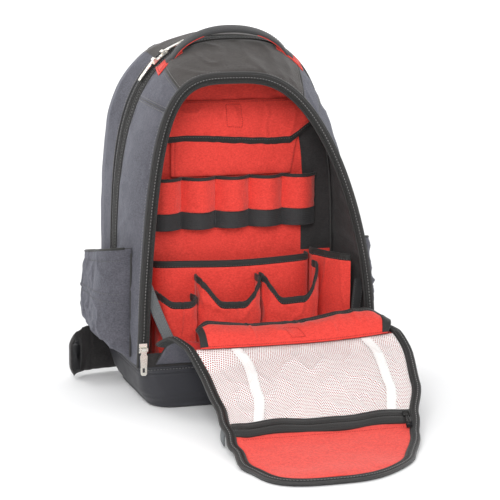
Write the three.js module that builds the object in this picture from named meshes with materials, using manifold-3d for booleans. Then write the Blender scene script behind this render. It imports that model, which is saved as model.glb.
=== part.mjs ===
// Tool backpack with its front flap open and lying forward on the floor.
// Millimetres. X runs to the right as seen from the front, -Y is the front, +Z is up.
// The origin lies under the boot, on the floor.

import * as THREE from 'three';
import Module from 'manifold-3d';
import { mergeVertices } from 'three/addons/utils/BufferGeometryUtils.js';

// Driving dimensions of the bag
const BODY_WIDTH = 322;
const BODY_HEIGHT = 498;
const BODY_DEPTH = 219;
const BODY_FRONT = 121;
const FRONT_LEAN = 0.035;
const WIDEST_HEIGHT = 115;
const GUSSET_SWELL = 3;
const ZIP_BAND_WIDTH = 22;
const LIP_HEIGHT = 18;

// Driving dimensions of the boot
const BOOT_HEIGHT = 62;
const BOOT_WIDTH = 314;
const BOOT_WALL = 3;
const BOOT_FLOOR = 4;
const BOOT_CORNER = 34;

// Thicknesses and clearances
const GAP = 0.3;
const CLOTH = 2.4;
const POCKET_CLOTH = 1.8;
const BINDING = 3;
const BINDING_HEIGHT = 9;
const WEBBING = 2;
const RIM_WIDTH = 12;
const RIM_THICKNESS = 3;

// Driving dimensions of the flap
const FLAP_REACH = 374;
const FLAP_RISE = 90;
const FLAP_CLOTH = 3;
const FLAP_RIM_HEIGHT = 7;
const FLAP_RIM_START = 18;
const MESH_START = 60;
const ZIP_POCKET_START = 212;
const ZIP_POCKET_BAND = 20;
const MESH_SWELL = 8;
const MESH_TAPE_WIDTH = 15;
const TAB_LENGTH = 17;
const TAB_WIDTH = 16;

// Driving dimensions of the outer pieces
const HANDLE_WIDTH = 24;
const HANDLE_BOW = 17;
const HANDLE_SPAN = 178;
const SIDE_POCKET_SWELL = 38;
const BACK_PAD = 11;
const STRAP_WIDTH = 62;
const STRAP_PAD = 12;
const STRAP_BOW = 34;
const WING_HEIGHT = 78;
const WING_PAD = 11;

// Driving dimensions of the metal pulls
const PULL_LENGTH = 36;
const PULL_WIDTH = 10;
const PULL_THICKNESS = 2;
const SLIDER_LENGTH = 13;
const SLIDER_WIDTH = 11;
const SLIDER_PLATE = 2;
const PIN_RADIUS = 1;

const HALF = BODY_WIDTH / 2;
const FOOT = BOOT_HEIGHT + GAP;
const ZIP_AT = BODY_FRONT / BODY_DEPTH;
const BAND_AT = ZIP_AT + ZIP_BAND_WIDTH / BODY_DEPTH;

// Cross-sections of the bag from the rim to the back. at is a share of the depth, wide of half the width
// and top of the height; side and roof are the powers of the arch; low and high shift it, in half-widths.
const ARCH = [
  { at: 0.0, wide: 1.034, top: 0.912, side: 3.2, roof: 1.45, low: 0.079, high: -0.14 },
  { at: ZIP_AT, wide: 0.958, top: 0.988, side: 2.7, roof: 3.9, low: -0.03, high: 0.045 },
  { at: 0.83, wide: 1.0, top: 1.0, side: 2.2, roof: 6.0, low: 0.0, high: 0.015 },
  { at: 0.95, wide: 0.99, top: 0.993, side: 2.2, roof: 5.8, low: 0.0, high: 0.02 },
  { at: 1.0, wide: 0.95, top: 0.976, side: 2.2, roof: 5.4, low: 0.0, high: 0.02 },
];

// Sections of the boot from the floor up. up is a share of its height, side of half its width, front and rear
// of the bag's reach each way, corner of the corner radius.
const BOOT = [
  { up: 0.0, side: 0.852, front: 0.9, rear: 0.87, corner: 1.0 },
  { up: 0.36, side: 0.94, front: 0.962, rear: 0.945, corner: 0.9 },
  { up: 1.0, side: 1.0, front: 0.983, rear: 0.995, corner: 0.45 },
];

// Centre line and edges of the open flap, from its hinge to its tip. out is a share of its reach, up of
// its rise, shift of half the width, squeeze narrows it, and left and right raise its edges, in rises.
const FLAP = [
  { out: 0.0, up: 0.735, shift: 0.06, squeeze: 0.93, left: 0.0, right: 0.02 },
  { out: 0.04, up: 0.88, shift: 0.12, squeeze: 0.925, left: 0.17, right: 0.2 },
  { out: 0.078, up: 0.967, shift: 0.19, squeeze: 0.92, left: 0.2, right: 0.2 },
  { out: 0.131, up: 1.0, shift: 0.29, squeeze: 0.915, left: 0.04, right: 0.1 },
  { out: 0.211, up: 0.868, shift: 0.34, squeeze: 0.9, left: -0.16, right: 0.04 },
  { out: 0.372, up: 0.516, shift: 0.31, squeeze: 0.905, left: -0.09, right: 0.04 },
  { out: 0.521, up: 0.23, shift: 0.225, squeeze: 0.905, left: 0.02, right: 0.03 },
  { out: 0.639, up: 0.088, shift: 0.165, squeeze: 0.93, left: 0.02, right: 0.02 },
  { out: 0.8, up: 0.013, shift: 0.075, squeeze: 0.97, left: 0.0, right: 0.0 },
  { out: 1.0, up: 0.013, shift: -0.05, squeeze: 0.98, left: 0.0, right: 0.0 },
];

// Finishes
function finish(color, roughness, metalness = 0) {
  return new THREE.MeshStandardMaterial({ color, roughness, metalness });
}
const BLACK_CLOTH = finish(0x3d3d42, 0.9);
const BOOT_PLASTIC = finish(0x36363a, 0.55);
const TRIM = finish(0x2c2d2d, 0.8);
const RED_CLOTH = finish(0xd83a34, 0.85);
const NET = finish(0xf0dcda, 0.8);
const WHITE_TAPE = finish(0xf6f4f2, 0.8);
const GREY_WEBBING = finish(0x55585c, 0.8);
const METAL = finish(0xd9d2c4, 0.35, 1);

const vec = (x, y, z) => new THREE.Vector3(x, y, z);
const lerp = THREE.MathUtils.lerp;
const clamp = THREE.MathUtils.clamp;

// Solid from points and triangles, with its faces turned outwards
function solid(positions, index) {
  let volume = 0;
  const p = (i) => vec(positions[3 * i], positions[3 * i + 1], positions[3 * i + 2]);
  for (let k = 0; k < index.length; k += 3) {
    volume += p(index[k]).dot(p(index[k + 1]).cross(p(index[k + 2])));
  }
  const faces = volume < 0 ? index.slice().reverse() : index;
  const geometry = new THREE.BufferGeometry();
  geometry.setAttribute('position', new THREE.Float32BufferAttribute(positions, 3));
  geometry.setIndex(faces);
  return geometry;
}

// Closed solid between two grids of points
function shell(outer, inner, nu, nv) {
  const positions = [];
  const index = [];
  const id = (layer, i, j) => (layer * (nu + 1) + i) * (nv + 1) + j;
  const quad = (a, b, c, d) => index.push(a, b, c, a, c, d);
  for (const face of [outer, inner]) {
    for (let i = 0; i <= nu; i++) {
      for (let j = 0; j <= nv; j++) positions.push(...face(i / nu, j / nv).toArray());
    }
  }
  for (let i = 0; i < nu; i++) {
    for (let j = 0; j < nv; j++) {
      quad(id(0, i, j), id(0, i + 1, j), id(0, i + 1, j + 1), id(0, i, j + 1));
      quad(id(1, i, j), id(1, i, j + 1), id(1, i + 1, j + 1), id(1, i + 1, j));
    }
    quad(id(0, i, 0), id(1, i, 0), id(1, i + 1, 0), id(0, i + 1, 0));
    quad(id(0, i, nv), id(0, i + 1, nv), id(1, i + 1, nv), id(1, i, nv));
  }
  for (let j = 0; j < nv; j++) {
    quad(id(0, 0, j), id(0, 0, j + 1), id(1, 0, j + 1), id(1, 0, j));
    quad(id(0, nu, j), id(1, nu, j), id(1, nu, j + 1), id(0, nu, j + 1));
  }
  return solid(positions, index);
}

// Cloth or padding along a surface, as thick as thickness says, on the side that side names
function sheet(surface, nu, nv, thickness, side = 1) {
  const step = 1e-3;
  const depth = typeof thickness === 'function' ? thickness : () => thickness;
  const inner = (u, v) => {
    const along = surface(Math.min(1, u + step), v).sub(surface(Math.max(0, u - step), v));
    const across = surface(u, Math.min(1, v + step)).sub(surface(u, Math.max(0, v - step)));
    return surface(u, v).addScaledVector(along.cross(across).normalize(), side * depth(u, v));
  };
  return shell(surface, inner, nu, nv);
}

// Closed solid through rings of equally many points, with a flat cap on the first and the last
function ringStack(rings, capShift) {
  const count = rings[0].length;
  const positions = [];
  const index = [];
  for (const ring of rings) for (const point of ring) positions.push(...point.toArray());
  for (let r = 0; r + 1 < rings.length; r++) {
    for (let k = 0; k < count; k++) {
      const a = r * count + k;
      const b = r * count + ((k + 1) % count);
      index.push(a, b, b + count, a, b + count, a + count);
    }
  }
  const cap = (ring, first, flip) => {
    const centre = ring.reduce((sum, point) => sum.add(point), vec(0, 0, 0));
    centre.divideScalar(count).add(capShift);
    const middle = positions.length / 3;
    positions.push(...centre.toArray());
    for (let k = 0; k < count; k++) {
      const next = (k + 1) % count;
      index.push(middle, first + (flip ? next : k), first + (flip ? k : next));
    }
  };
  cap(rings[0], 0, true);
  cap(rings[rings.length - 1], (rings.length - 1) * count, false);
  return solid(positions, index);
}

// Row of a table at a value of one of its columns, with the others in proportion
function tableRow(table, key, value) {
  const x = clamp(value, table[0][key], table[table.length - 1][key]);
  let k = 0;
  while (k < table.length - 2 && table[k + 1][key] < x) k++;
  const low = table[k];
  const high = table[k + 1];
  const share = (x - low[key]) / (high[key] - low[key]);
  return Object.fromEntries(Object.keys(low).map((name) => [name, lerp(low[name], high[name], share)]));
}

// Arch of one section as a line of many points, from the left foot over the top to the right foot
const archLines = new Map();
function archLine(at, straight = false) {
  const name = `${at.toFixed(5)} ${straight}`;
  if (archLines.has(name)) return archLines.get(name);
  const row = tableRow(ARCH, 'at', at);
  const wide = row.wide * HALF;
  const rise = row.top * BODY_HEIGHT - WIDEST_HEIGHT;
  const points = [new THREE.Vector2(straight ? -wide : -BOOT_WIDTH / 2, FOOT)];
  const steps = 96;
  for (let k = 0; k <= steps; k++) {
    const angle = Math.PI * (1 - k / steps);
    const across = Math.sign(Math.cos(angle)) * Math.abs(Math.cos(angle)) ** (2 / row.side);
    const up = Math.abs(Math.sin(angle)) ** (2 / row.roof);
    const shift = straight ? 0 : HALF * lerp(row.low, row.high, up ** 2);
    points.push(new THREE.Vector2(across * wide + shift, WIDEST_HEIGHT + up * rise));
  }
  points.push(new THREE.Vector2(straight ? wide : BOOT_WIDTH / 2, FOOT));
  const lengths = [0];
  for (let k = 1; k < points.length; k++) lengths.push(lengths[k - 1] + points[k].distanceTo(points[k - 1]));
  archLines.set(name, { points, lengths });
  return archLines.get(name);
}

// Point of the arch at a share of its length, moved inwards by inset
function archFlat(at, t, inset, straight = false) {
  const { points, lengths } = archLine(at, straight);
  const target = clamp(t, 0, 1) * lengths[lengths.length - 1];
  let k = 0;
  while (k < points.length - 2 && lengths[k + 1] < target) k++;
  const share = (target - lengths[k]) / (lengths[k + 1] - lengths[k]);
  const point = points[k].clone().lerp(points[k + 1], share);
  const from = points[Math.max(0, k - 1)];
  const to = points[Math.min(points.length - 1, k + 2)];
  const along = to.clone().sub(from).normalize();
  const edge = k === 0 || k === points.length - 2;
  const inward = edge ? new THREE.Vector2(t < 0.5 ? 1 : -1, 0) : new THREE.Vector2(along.y, -along.x);
  return { x: point.x + inward.x * inset, z: point.y + inward.y * inset, skinZ: point.y, inward };
}

const bagY = (at, z) => at * BODY_DEPTH - BODY_FRONT + FRONT_LEAN * z * Math.max(0, 1 - at / ZIP_AT);
const bagAt = (y) => (y + BODY_FRONT) / BODY_DEPTH;
const swellAt = (at) => (at < ZIP_AT ? GUSSET_SWELL * Math.sin(Math.PI * clamp(at / ZIP_AT, 0, 1)) : 0);

// Point of the bag's skin at a share of the depth and of the arch
function bagPoint(at, t, inset) {
  const flat = archFlat(at, t, inset);
  return vec(flat.x, bagY(at, flat.skinZ), flat.z);
}

// Share of the arch where it passes a height on one side, or a place across its top
function archAtHeight(at, z, side) {
  let low = 0;
  let high = 0.5;
  for (let k = 0; k < 40; k++) {
    const middle = (low + high) / 2;
    if (archFlat(at, side < 0 ? middle : 1 - middle, 0).z < z) low = middle;
    else high = middle;
  }
  return side < 0 ? low : 1 - low;
}

function archAcross(at, x) {
  let low = 0;
  let high = 1;
  for (let k = 0; k < 40; k++) {
    const middle = (low + high) / 2;
    if (archFlat(at, middle, 0).x < x) low = middle;
    else high = middle;
  }
  return low;
}

const sideX = (at, z, side) => archFlat(at, archAtHeight(at, z, side), 0).x;

// Outline, in X and Z, of what fits inside the bag at one depth, from its left foot over the top
function insideOutline(y, inset, count) {
  const points = [];
  for (let k = 0; k <= count; k++) {
    let at = bagAt(y);
    let flat = archFlat(at, k / count, inset);
    for (let turn = 0; turn < 4; turn++) {
      const lean = FRONT_LEAN * flat.skinZ * Math.max(0, 1 - at / ZIP_AT);
      at = bagAt(y - lean);
      flat = archFlat(at, k / count, inset);
    }
    points.push(new THREE.Vector2(flat.x, flat.z));
  }
  return points;
}

// Flat plate with an outline in X and Z, between two depths
function plate(outline, front, rear) {
  const shape = new THREE.Shape(outline);
  const geometry = new THREE.ExtrudeGeometry(shape, { depth: rear - front, bevelEnabled: false });
  return geometry.rotateX(Math.PI / 2).translate(0, rear, 0);
}

// Line in plan moved sideways by a distance, towards the back where the line runs to the right
function offsetPlan(plan, distance) {
  return plan.map((point, k) => {
    const before = plan[Math.max(0, k - 1)];
    const after = plan[Math.min(plan.length - 1, k + 1)];
    const back = k > 0 ? point.clone().sub(before) : after.clone().sub(point);
    const ahead = k < plan.length - 1 ? after.clone().sub(point) : back.clone();
    const a = back.normalize();
    const b = ahead.normalize();
    const normal = new THREE.Vector2(-(a.y + b.y), a.x + b.x).normalize();
    const mitre = Math.max(0.5, -normal.x * a.y + normal.y * a.x);
    return point.clone().addScaledVector(normal, distance / mitre);
  });
}

// Upright cloth wall along a line in plan, between a low and a high edge
function uprightWall(plan, low, high, thickness, proud = 0) {
  const outer = offsetPlan(plan, -proud);
  const inner = offsetPlan(plan, thickness - proud);
  const last = plan.length - 1;
  const face = (line) => (u, v) => {
    const point = line[Math.round(u * last)];
    return vec(point.x, point.y, lerp(low(u), high(u), v));
  };
  return shell(face(outer), face(inner), last, 1);
}

// Rounded box shape in plan of a pocket, from its left root to its right root
function hatPlan(left, right, rear, front, count) {
  const middle = (left + right) / 2;
  const half = (right - left) / 2;
  const points = [];
  for (let k = 0; k <= count; k++) {
    const angle = Math.PI * (1 - k / count);
    const x = middle + half * Math.sign(Math.cos(angle)) * Math.abs(Math.cos(angle)) ** 0.45;
    points.push(new THREE.Vector2(x, lerp(rear, front, Math.abs(Math.sin(angle)) ** 0.55)));
  }
  return points;
}

// Value of a short list of stops, each a share and a value, with straight runs between them
function stops(list, share) {
  const rows = list.map(([at, value]) => ({ at, value }));
  return tableRow(rows, 'at', share).value;
}

const wasm = await Module();
wasm.setup();

function toManifold(source) {
  const bare = source.clone();
  bare.deleteAttribute('normal');
  bare.deleteAttribute('uv');
  const merged = mergeVertices(bare, 1e-4);
  return new wasm.Manifold(new wasm.Mesh({
    numProp: 3,
    vertProperties: new Float32Array(merged.attributes.position.array),
    triVerts: new Uint32Array(merged.index.array),
  }));
}

function fromManifold(body) {
  const mesh = body.getMesh();
  return solid(Array.from(mesh.vertProperties), Array.from(mesh.triVerts));
}

const bag = new THREE.Group();
function add(name, geometry, material) {
  const mesh = new THREE.Mesh(geometry, material);
  mesh.name = name;
  bag.add(mesh);
  return mesh;
}

// Boot

const bootReach = { front: BODY_FRONT, rear: BODY_DEPTH - BODY_FRONT };

function bootRing(up, inset, z) {
  const row = tableRow(BOOT, 'up', up);
  const side = (row.side * BOOT_WIDTH) / 2 - inset;
  const front = -row.front * bootReach.front + inset;
  const rear = row.rear * bootReach.rear - inset;
  const radius = row.corner * BOOT_CORNER - inset;
  const corners = [
    { x: side - radius, y: rear - radius, turn: 0 },
    { x: -side + radius, y: rear - radius, turn: 1 },
    { x: -side + radius, y: front + radius, turn: 2 },
    { x: side - radius, y: front + radius, turn: 3 },
  ];
  const steps = 4;
  return corners.flatMap(({ x, y, turn }) => Array.from({ length: steps + 1 }, (_, k) => {
    const angle = (turn + k / steps) * (Math.PI / 2);
    return vec(x + radius * Math.cos(angle), y + radius * Math.sin(angle), z);
  }));
}

function bootSide(z) {
  return (tableRow(BOOT, 'up', z / BOOT_HEIGHT).side * BOOT_WIDTH) / 2;
}

const bootLevels = BOOT.map((row) => row.up);
const bootRings = [
  ...bootLevels.map((up) => bootRing(up, 0, up * BOOT_HEIGHT)),
  ...bootLevels.slice(1).reverse().map((up) => bootRing(up, BOOT_WALL, up * BOOT_HEIGHT)),
  bootRing(BOOT_FLOOR / BOOT_HEIGHT, BOOT_WALL, BOOT_FLOOR),
];
add('base_boot', ringStack(bootRings, vec(7, -9, 0)), BOOT_PLASTIC);

// Cloth tunnel of the bag

function tunnel(from, to, proud, thickness, nt, na) {
  const face = (depth) => (u, v) => {
    const at = lerp(from, to, v);
    return bagPoint(at, u, depth - proud - swellAt(at));
  };
  return shell(face(0), face(thickness), nt, na);
}

const depthShare = (length) => length / BODY_DEPTH;
const ZIP_PROUD = 0.8;
add('front_gusset', tunnel(0, ZIP_AT - depthShare(GAP), 0, CLOTH, 34, 4), BLACK_CLOTH);
add('rear_zip_band', tunnel(ZIP_AT, BAND_AT, ZIP_PROUD, CLOTH + ZIP_PROUD, 34, 1), TRIM);
add('rear_gusset', tunnel(BAND_AT + depthShare(GAP), 1, 0, CLOTH, 34, 4), BLACK_CLOTH);

// Bound zip track round the opening, down to where the zip ends on each side
const TRACK_END = FOOT + LIP_HEIGHT + 4;
const trackFrom = archAtHeight(0, TRACK_END, -1);
const trackTo = archAtHeight(0, TRACK_END, 1);
function trackFace(forward) {
  return (u, v) => {
    const point = bagPoint(0, lerp(trackFrom, trackTo, u), v * RIM_WIDTH);
    return point.add(vec(0, -GAP - forward, 0));
  };
}
add('rim_track', shell(trackFace(RIM_THICKNESS), trackFace(0), 34, 1), TRIM);

// Cloth strip under the opening
function lipFace(back) {
  return (u, v) => {
    const z = lerp(FOOT, FOOT + LIP_HEIGHT, v);
    const left = sideX(0, z, -1) + CLOTH + GAP;
    const right = sideX(0, z, 1) - CLOTH - GAP;
    return vec(lerp(left, right, u), bagY(0, z) + back, z);
  };
}
add('front_lip', shell(lipFace(0), lipFace(CLOTH), 6, 1), BLACK_CLOTH);

// Back of the bag

const BACK_Y = BODY_DEPTH - BODY_FRONT + GAP;
const backOutline = Array.from({ length: 31 }, (_, k) => {
  const flat = archFlat(1, k / 30, 0);
  return new THREE.Vector2(flat.x, flat.z);
});
add('back_panel', plate(backOutline, BACK_Y, BACK_Y + CLOTH), BLACK_CLOTH);

// Padding on the back: thick in the middle and thin at its edges
function padding(width, low, high, thick, nu, nv) {
  const edge = 0.35;
  const surface = (u, v) => vec((u - 0.5) * width, BACK_Y + CLOTH + GAP, lerp(low, high, v));
  const depth = (u, v) => {
    const crown = (1 - (2 * u - 1) ** 6) * (1 - (2 * v - 1) ** 6);
    return thick * (edge + (1 - edge) * Math.max(0, crown) ** 0.5);
  };
  return sheet(surface, nu, nv, depth, -1);
}
const PAD_WIDTH = 0.66 * BODY_WIDTH;
const PAD_LOW = 0.27 * BODY_HEIGHT;
const PAD_HIGH = 0.86 * BODY_HEIGHT;
const LUMBAR_LOW = FOOT + 4;
const LUMBAR_HIGH = PAD_LOW - 4;
const LUMBAR_WIDTH = 0.74 * BODY_WIDTH;
add('back_pad', padding(PAD_WIDTH, PAD_LOW, PAD_HIGH, BACK_PAD, 8, 8), BLACK_CLOTH);
add('lumbar_pad', padding(LUMBAR_WIDTH, LUMBAR_LOW, LUMBAR_HIGH, BACK_PAD + 3, 8, 5), BLACK_CLOTH);

// Divider between the two compartments

const DIVIDER_FRONT = -0.165 * BODY_FRONT;
const DIVIDER_SIDE_GAP = 0.8;
const FLOOR_TOP = BOOT_FLOOR + GAP;
function dividerOutline(y, count) {
  const arch = insideOutline(y, CLOTH + DIVIDER_SIDE_GAP - GUSSET_SWELL / 3, count);
  const low = bootSide(FLOOR_TOP) - BOOT_WALL - 1;
  const rim = Math.min(BOOT_WIDTH / 2 - BOOT_WALL - 1, Math.abs(arch[0].x));
  const upper = arch.filter((point) => point.y > FOOT + 2);
  const right = new THREE.Vector2(rim, BOOT_HEIGHT - 1);
  const left = new THREE.Vector2(-rim, BOOT_HEIGHT - 1);
  return [left, ...upper, right, new THREE.Vector2(low, FLOOR_TOP), new THREE.Vector2(-low, FLOOR_TOP)];
}
const dividerShape = dividerOutline(DIVIDER_FRONT, 30);
add('divider_panel', plate(dividerShape, DIVIDER_FRONT, DIVIDER_FRONT + CLOTH), RED_CLOTH);

// Cover over the document pocket, bulging forward from its top seam

const FRONT_DEPTH = DIVIDER_FRONT + BODY_FRONT;
const ahead = (share) => DIVIDER_FRONT - GAP - share * FRONT_DEPTH;
const COVER = { left: -0.76, right: 0.73, top: 0.822, low: 0.722, swell: 0.14, corner: 0.045 };
const COVER_LENGTH = (COVER.top - COVER.low) * BODY_HEIGHT;
function coverPoint(u, down) {
  const bulge = Math.sin(Math.PI * clamp(0.1 + 0.62 * down, 0, 1)) - Math.sin(0.1 * Math.PI);
  const rightCorner = COVER.corner * BODY_HEIGHT * Math.max(0, (u - 0.86) / 0.14) ** 1.3;
  const low = COVER.low * BODY_HEIGHT + rightCorner;
  const sag = 3 * Math.sin(2 * Math.PI * u);
  const z = lerp(COVER.top * BODY_HEIGHT, low, down) + sag * down;
  const x = lerp(COVER.left, COVER.right, u) * HALF * (1 - 0.06 * (1 - down));
  return vec(x, ahead(0.005 + COVER.swell * bulge * (0.9 + 0.1 * Math.sin(5 * u))), z);
}
add('upper_cover', sheet(coverPoint, 12, 4, POCKET_CLOTH, -1), RED_CLOTH);
const coverBinding = (u, v) => {
  const down = 1 + (2 * GAP + v * BINDING_HEIGHT) / COVER_LENGTH;
  return coverPoint(u, down).add(vec(0, 0.3, 0));
};
add('upper_cover_binding', sheet(coverBinding, 12, 1, BINDING, -1), TRIM);

// Flat document pocket under the cover
const DOCUMENT = { left: -0.53, right: 0.6, lowRight: 0.545, top: 0.69, low: 0.612 };
function documentPoint(u, v) {
  const right = lerp(DOCUMENT.lowRight, DOCUMENT.right, v);
  const x = lerp(DOCUMENT.left, right, u) * HALF;
  const swell = 0.02 * Math.sin(Math.PI * u) * (0.3 + 0.7 * v);
  return vec(x, ahead(swell), lerp(DOCUMENT.low, DOCUMENT.top, v) * BODY_HEIGHT);
}
add('document_pocket', sheet(documentPoint, 8, 2, POCKET_CLOTH, 1), RED_CLOTH);

// Row of tubes with a bound top and a wide elastic band below
const DRIVER = { tubes: 5, left: -0.745, right: 0.77, top: 0.603, low: 0.515, bandLow: 0.466, swell: 0.17 };
function tubePlan(swell, reach = 1) {
  const steps = 6;
  const count = DRIVER.tubes * steps;
  return Array.from({ length: count + 1 }, (_, k) => {
    const x = lerp(DRIVER.left, DRIVER.right, k / count) * HALF * reach;
    const wave = Math.abs(Math.sin((Math.PI * k) / steps)) ** 0.8;
    return new THREE.Vector2(x, ahead(swell * wave) - POCKET_CLOTH - 1.2);
  });
}
const level = (share) => () => share * BODY_HEIGHT;
const raised = (edge, by) => (u) => edge(u) + by;
const tubes = tubePlan(DRIVER.swell);
add('driver_row', uprightWall(tubes, level(DRIVER.low), level(DRIVER.top), POCKET_CLOTH), RED_CLOTH);
const driverTop = raised(level(DRIVER.top), GAP);
add('driver_row_binding', uprightWall(tubes, driverTop, raised(driverTop, 4), BINDING, 1), TRIM);
const bandTop = raised(level(DRIVER.low), -GAP);
const bandPlan = tubePlan(DRIVER.swell * 0.8);
add('driver_band', uprightWall(bandPlan, level(DRIVER.bandLow), bandTop, WEBBING), TRIM);

// Full-width pocket row and the scooped pockets in front of it

const MID = { left: -0.735, right: 0.71, top: 0.366, front: 0.33 };
const pocketFoot = () => FLOOR_TOP + GAP;
const midPlan = hatPlan(MID.left * HALF, MID.right * HALF, DIVIDER_FRONT - GAP, ahead(MID.front), 12);
add('mid_row', uprightWall(midPlan, pocketFoot, level(MID.top), POCKET_CLOTH), RED_CLOTH);
const midTop = raised(level(MID.top), GAP);
add('mid_row_binding', uprightWall(midPlan, midTop, raised(midTop, BINDING_HEIGHT), BINDING, 0.6), TRIM);

// Scooped pockets: left and right are shares of half the width, and scoop gives the top edge, a share of the
// way across and a share of the height
const SCOOPED = [
  { name: 'left', left: -0.73, right: -0.4, scoop: [[0, 0.29], [0.28, 0.268], [0.8, 0.266], [1, 0.275]] },
  { name: 'middle', left: -0.375, right: 0.18, scoop: [[0, 0.33], [0.3, 0.262], [0.72, 0.258], [1, 0.322]] },
  { name: 'right', left: 0.205, right: 0.7, scoop: [[0, 0.325], [0.26, 0.262], [0.74, 0.266], [1, 0.352]] },
];
const SCOOPED_FRONT = 0.68;
for (const pocket of SCOOPED) {
  const rear = ahead(MID.front) - GAP;
  const plan = hatPlan(pocket.left * HALF, pocket.right * HALF, rear, ahead(SCOOPED_FRONT), 10);
  const first = plan[0].x;
  const across = (u) => (plan[Math.round(u * (plan.length - 1))].x - first) / (plan.at(-1).x - first);
  const top = (u) => stops(pocket.scoop, across(u)) * BODY_HEIGHT;
  const bound = raised(top, GAP);
  add(`tool_pocket_${pocket.name}`, uprightWall(plan, pocketFoot, top, POCKET_CLOTH), RED_CLOTH);
  const edge = uprightWall(plan, bound, raised(bound, BINDING_HEIGHT), BINDING, 0.6);
  add(`tool_pocket_${pocket.name}_binding`, edge, TRIM);
}

// Pockets across the corners beside the scooped ones
const WALL_POCKET = { top: 0.38, low: 0.15, near: 0.1, far: 0.77, rootGap: 0.5 };
for (const side of [-1, 1]) {
  const name = side < 0 ? 'left' : 'right';
  const root = side < 0 ? MID.left * HALF - WALL_POCKET.rootGap : MID.right * HALF + WALL_POCKET.rootGap;
  const wallX = sideX(0.15, WALL_POCKET.low * BODY_HEIGHT, side) - side * (CLOTH + 6.5);
  const plan = Array.from({ length: 7 }, (_, k) => {
    const share = k / 6;
    const bow = 0.1 * Math.sin(Math.PI * share) * FRONT_DEPTH;
    const y = ahead(lerp(WALL_POCKET.near, WALL_POCKET.far, share)) - bow;
    return new THREE.Vector2(lerp(root, wallX, share ** 1.15), y);
  });
  if (side < 0) plan.reverse();
  const top = level(WALL_POCKET.top);
  const bound = raised(top, GAP);
  add(`wall_pocket_${name}`, uprightWall(plan, level(WALL_POCKET.low), top, POCKET_CLOTH), RED_CLOTH);
  const edge = uprightWall(plan, bound, raised(bound, BINDING_HEIGHT), BINDING, 0.6);
  add(`wall_pocket_${name}_binding`, edge, TRIM);
}

// Flat strap along a line of points, with its width along across and its thickness on one side
function strap(points, across, width, thickness, nu, side = 1) {
  const curve = new THREE.CatmullRomCurve3(points);
  const surface = (u, v) => curve.getPoint(u).addScaledVector(across, (v - 0.5) * width);
  return sheet(surface, nu, 1, thickness, side);
}

// Open flap

const FLAP_HINGE = -BODY_FRONT + 0.2;
const flapLine = new THREE.CatmullRomCurve3(FLAP.map((row) => (
  vec(0, FLAP_HINGE - row.out * FLAP_REACH, row.up * FLAP_RISE)
)), false, 'centripetal');
flapLine.arcLengthDivisions = 400;
const FLAP_LENGTH = flapLine.getLength();
const flapFoot = archFlat(0, 0, 0, true).z;
const flapTop = archFlat(0, 0.5, 0, true).z;

// The hinge keeps to the width of the track's feet, whose reach as drawn is in half-widths
const TRACK_REACH = 1.033;
const hingeWidth = sideX(0, TRACK_END, 1) / (TRACK_REACH * HALF);

// Point on the flap: across in its flat width, along from its hinge, lifted off its underside
function flapPoint(across, along, lift) {
  const share = clamp(along / FLAP_LENGTH, 0, 1);
  const t = flapLine.getUtoTmapping(share);
  const place = t * (FLAP.length - 1);
  const k = Math.min(FLAP.length - 2, Math.floor(place));
  const part = place - k;
  const mix = (key) => lerp(FLAP[k][key], FLAP[k + 1][key], part * part * (3 - 2 * part));
  const centre = flapLine.getPoint(t);
  const tangent = flapLine.getTangent(t);
  const outwards = (Math.abs(across) / HALF) ** 2;
  const rise = (across < 0 ? mix('left') : mix('right')) * FLAP_RISE * outwards;
  const narrow = lerp(hingeWidth, 1, clamp(along / MESH_START, 0, 1));
  const x = (mix('shift') * HALF + across * mix('squeeze')) * narrow;
  return vec(x, centre.y + tangent.z * lift, Math.max(centre.z + rise, 0) - tangent.y * lift);
}

// Flat place on the flap's outline at a share of the rim, moved inwards
function flapOutline(t, inset) {
  const flat = archFlat(0, t, inset, true);
  return { across: flat.x, along: ((flat.z - flapFoot) / (flapTop - flapFoot)) * FLAP_LENGTH };
}

// Share of the flap's outline at a distance from its hinge, and half the flat width there, less an inset
function flapShare(along, inset) {
  let low = 0;
  let high = 0.5;
  for (let k = 0; k < 40; k++) {
    const middle = (low + high) / 2;
    if (flapOutline(middle, inset).along < along) low = middle;
    else high = middle;
  }
  return low;
}
const flapHalf = (along, inset) => Math.abs(flapOutline(flapShare(along, inset), inset).across);

// Rows of the flap, as distances from its hinge, which every piece on it shares
const FLAP_SEAM = 1.2;
const FLAP_INSET = RIM_WIDTH + FLAP_SEAM;
const BAND_END = ZIP_POCKET_START + ZIP_POCKET_BAND;
const FLAP_TIP = flapOutline(0.5, FLAP_INSET).along * 0.997;
const spread = (from, to, count, ease = (v) => v) => (
  Array.from({ length: count }, (_, k) => lerp(from, to, ease((k + 1) / count)))
);
const FLAP_ROWS = [
  0,
  ...spread(0, MESH_START, 3),
  ...spread(MESH_START, ZIP_POCKET_START, 8),
  BAND_END,
  ...spread(BAND_END, FLAP_TIP, 8, (v) => Math.sin((Math.PI / 2) * v)),
];

// Patch of the flap between two of its rows, between a low and a high surface
const FLAP_COLUMNS = 10;
function flapPatch(from, to, low, high) {
  const rows = FLAP_ROWS.filter((along) => along >= from - 0.01 && along <= to + 0.01);
  const last = rows.length - 1;
  const face = (lift) => (u, v) => {
    const row = Math.round(v * last);
    const along = clamp(rows[row], from + GAP / 2, to - GAP / 2);
    const across = (2 * u - 1) * flapHalf(rows[row], FLAP_INSET);
    return flapPoint(across, along, lift(u, v));
  };
  return shell(face(low), face(high), FLAP_COLUMNS, last);
}

const even = (lift) => () => lift;
add('flap_panel', flapPatch(0, FLAP_TIP, even(0), even(FLAP_CLOTH)), BLACK_CLOTH);

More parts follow.
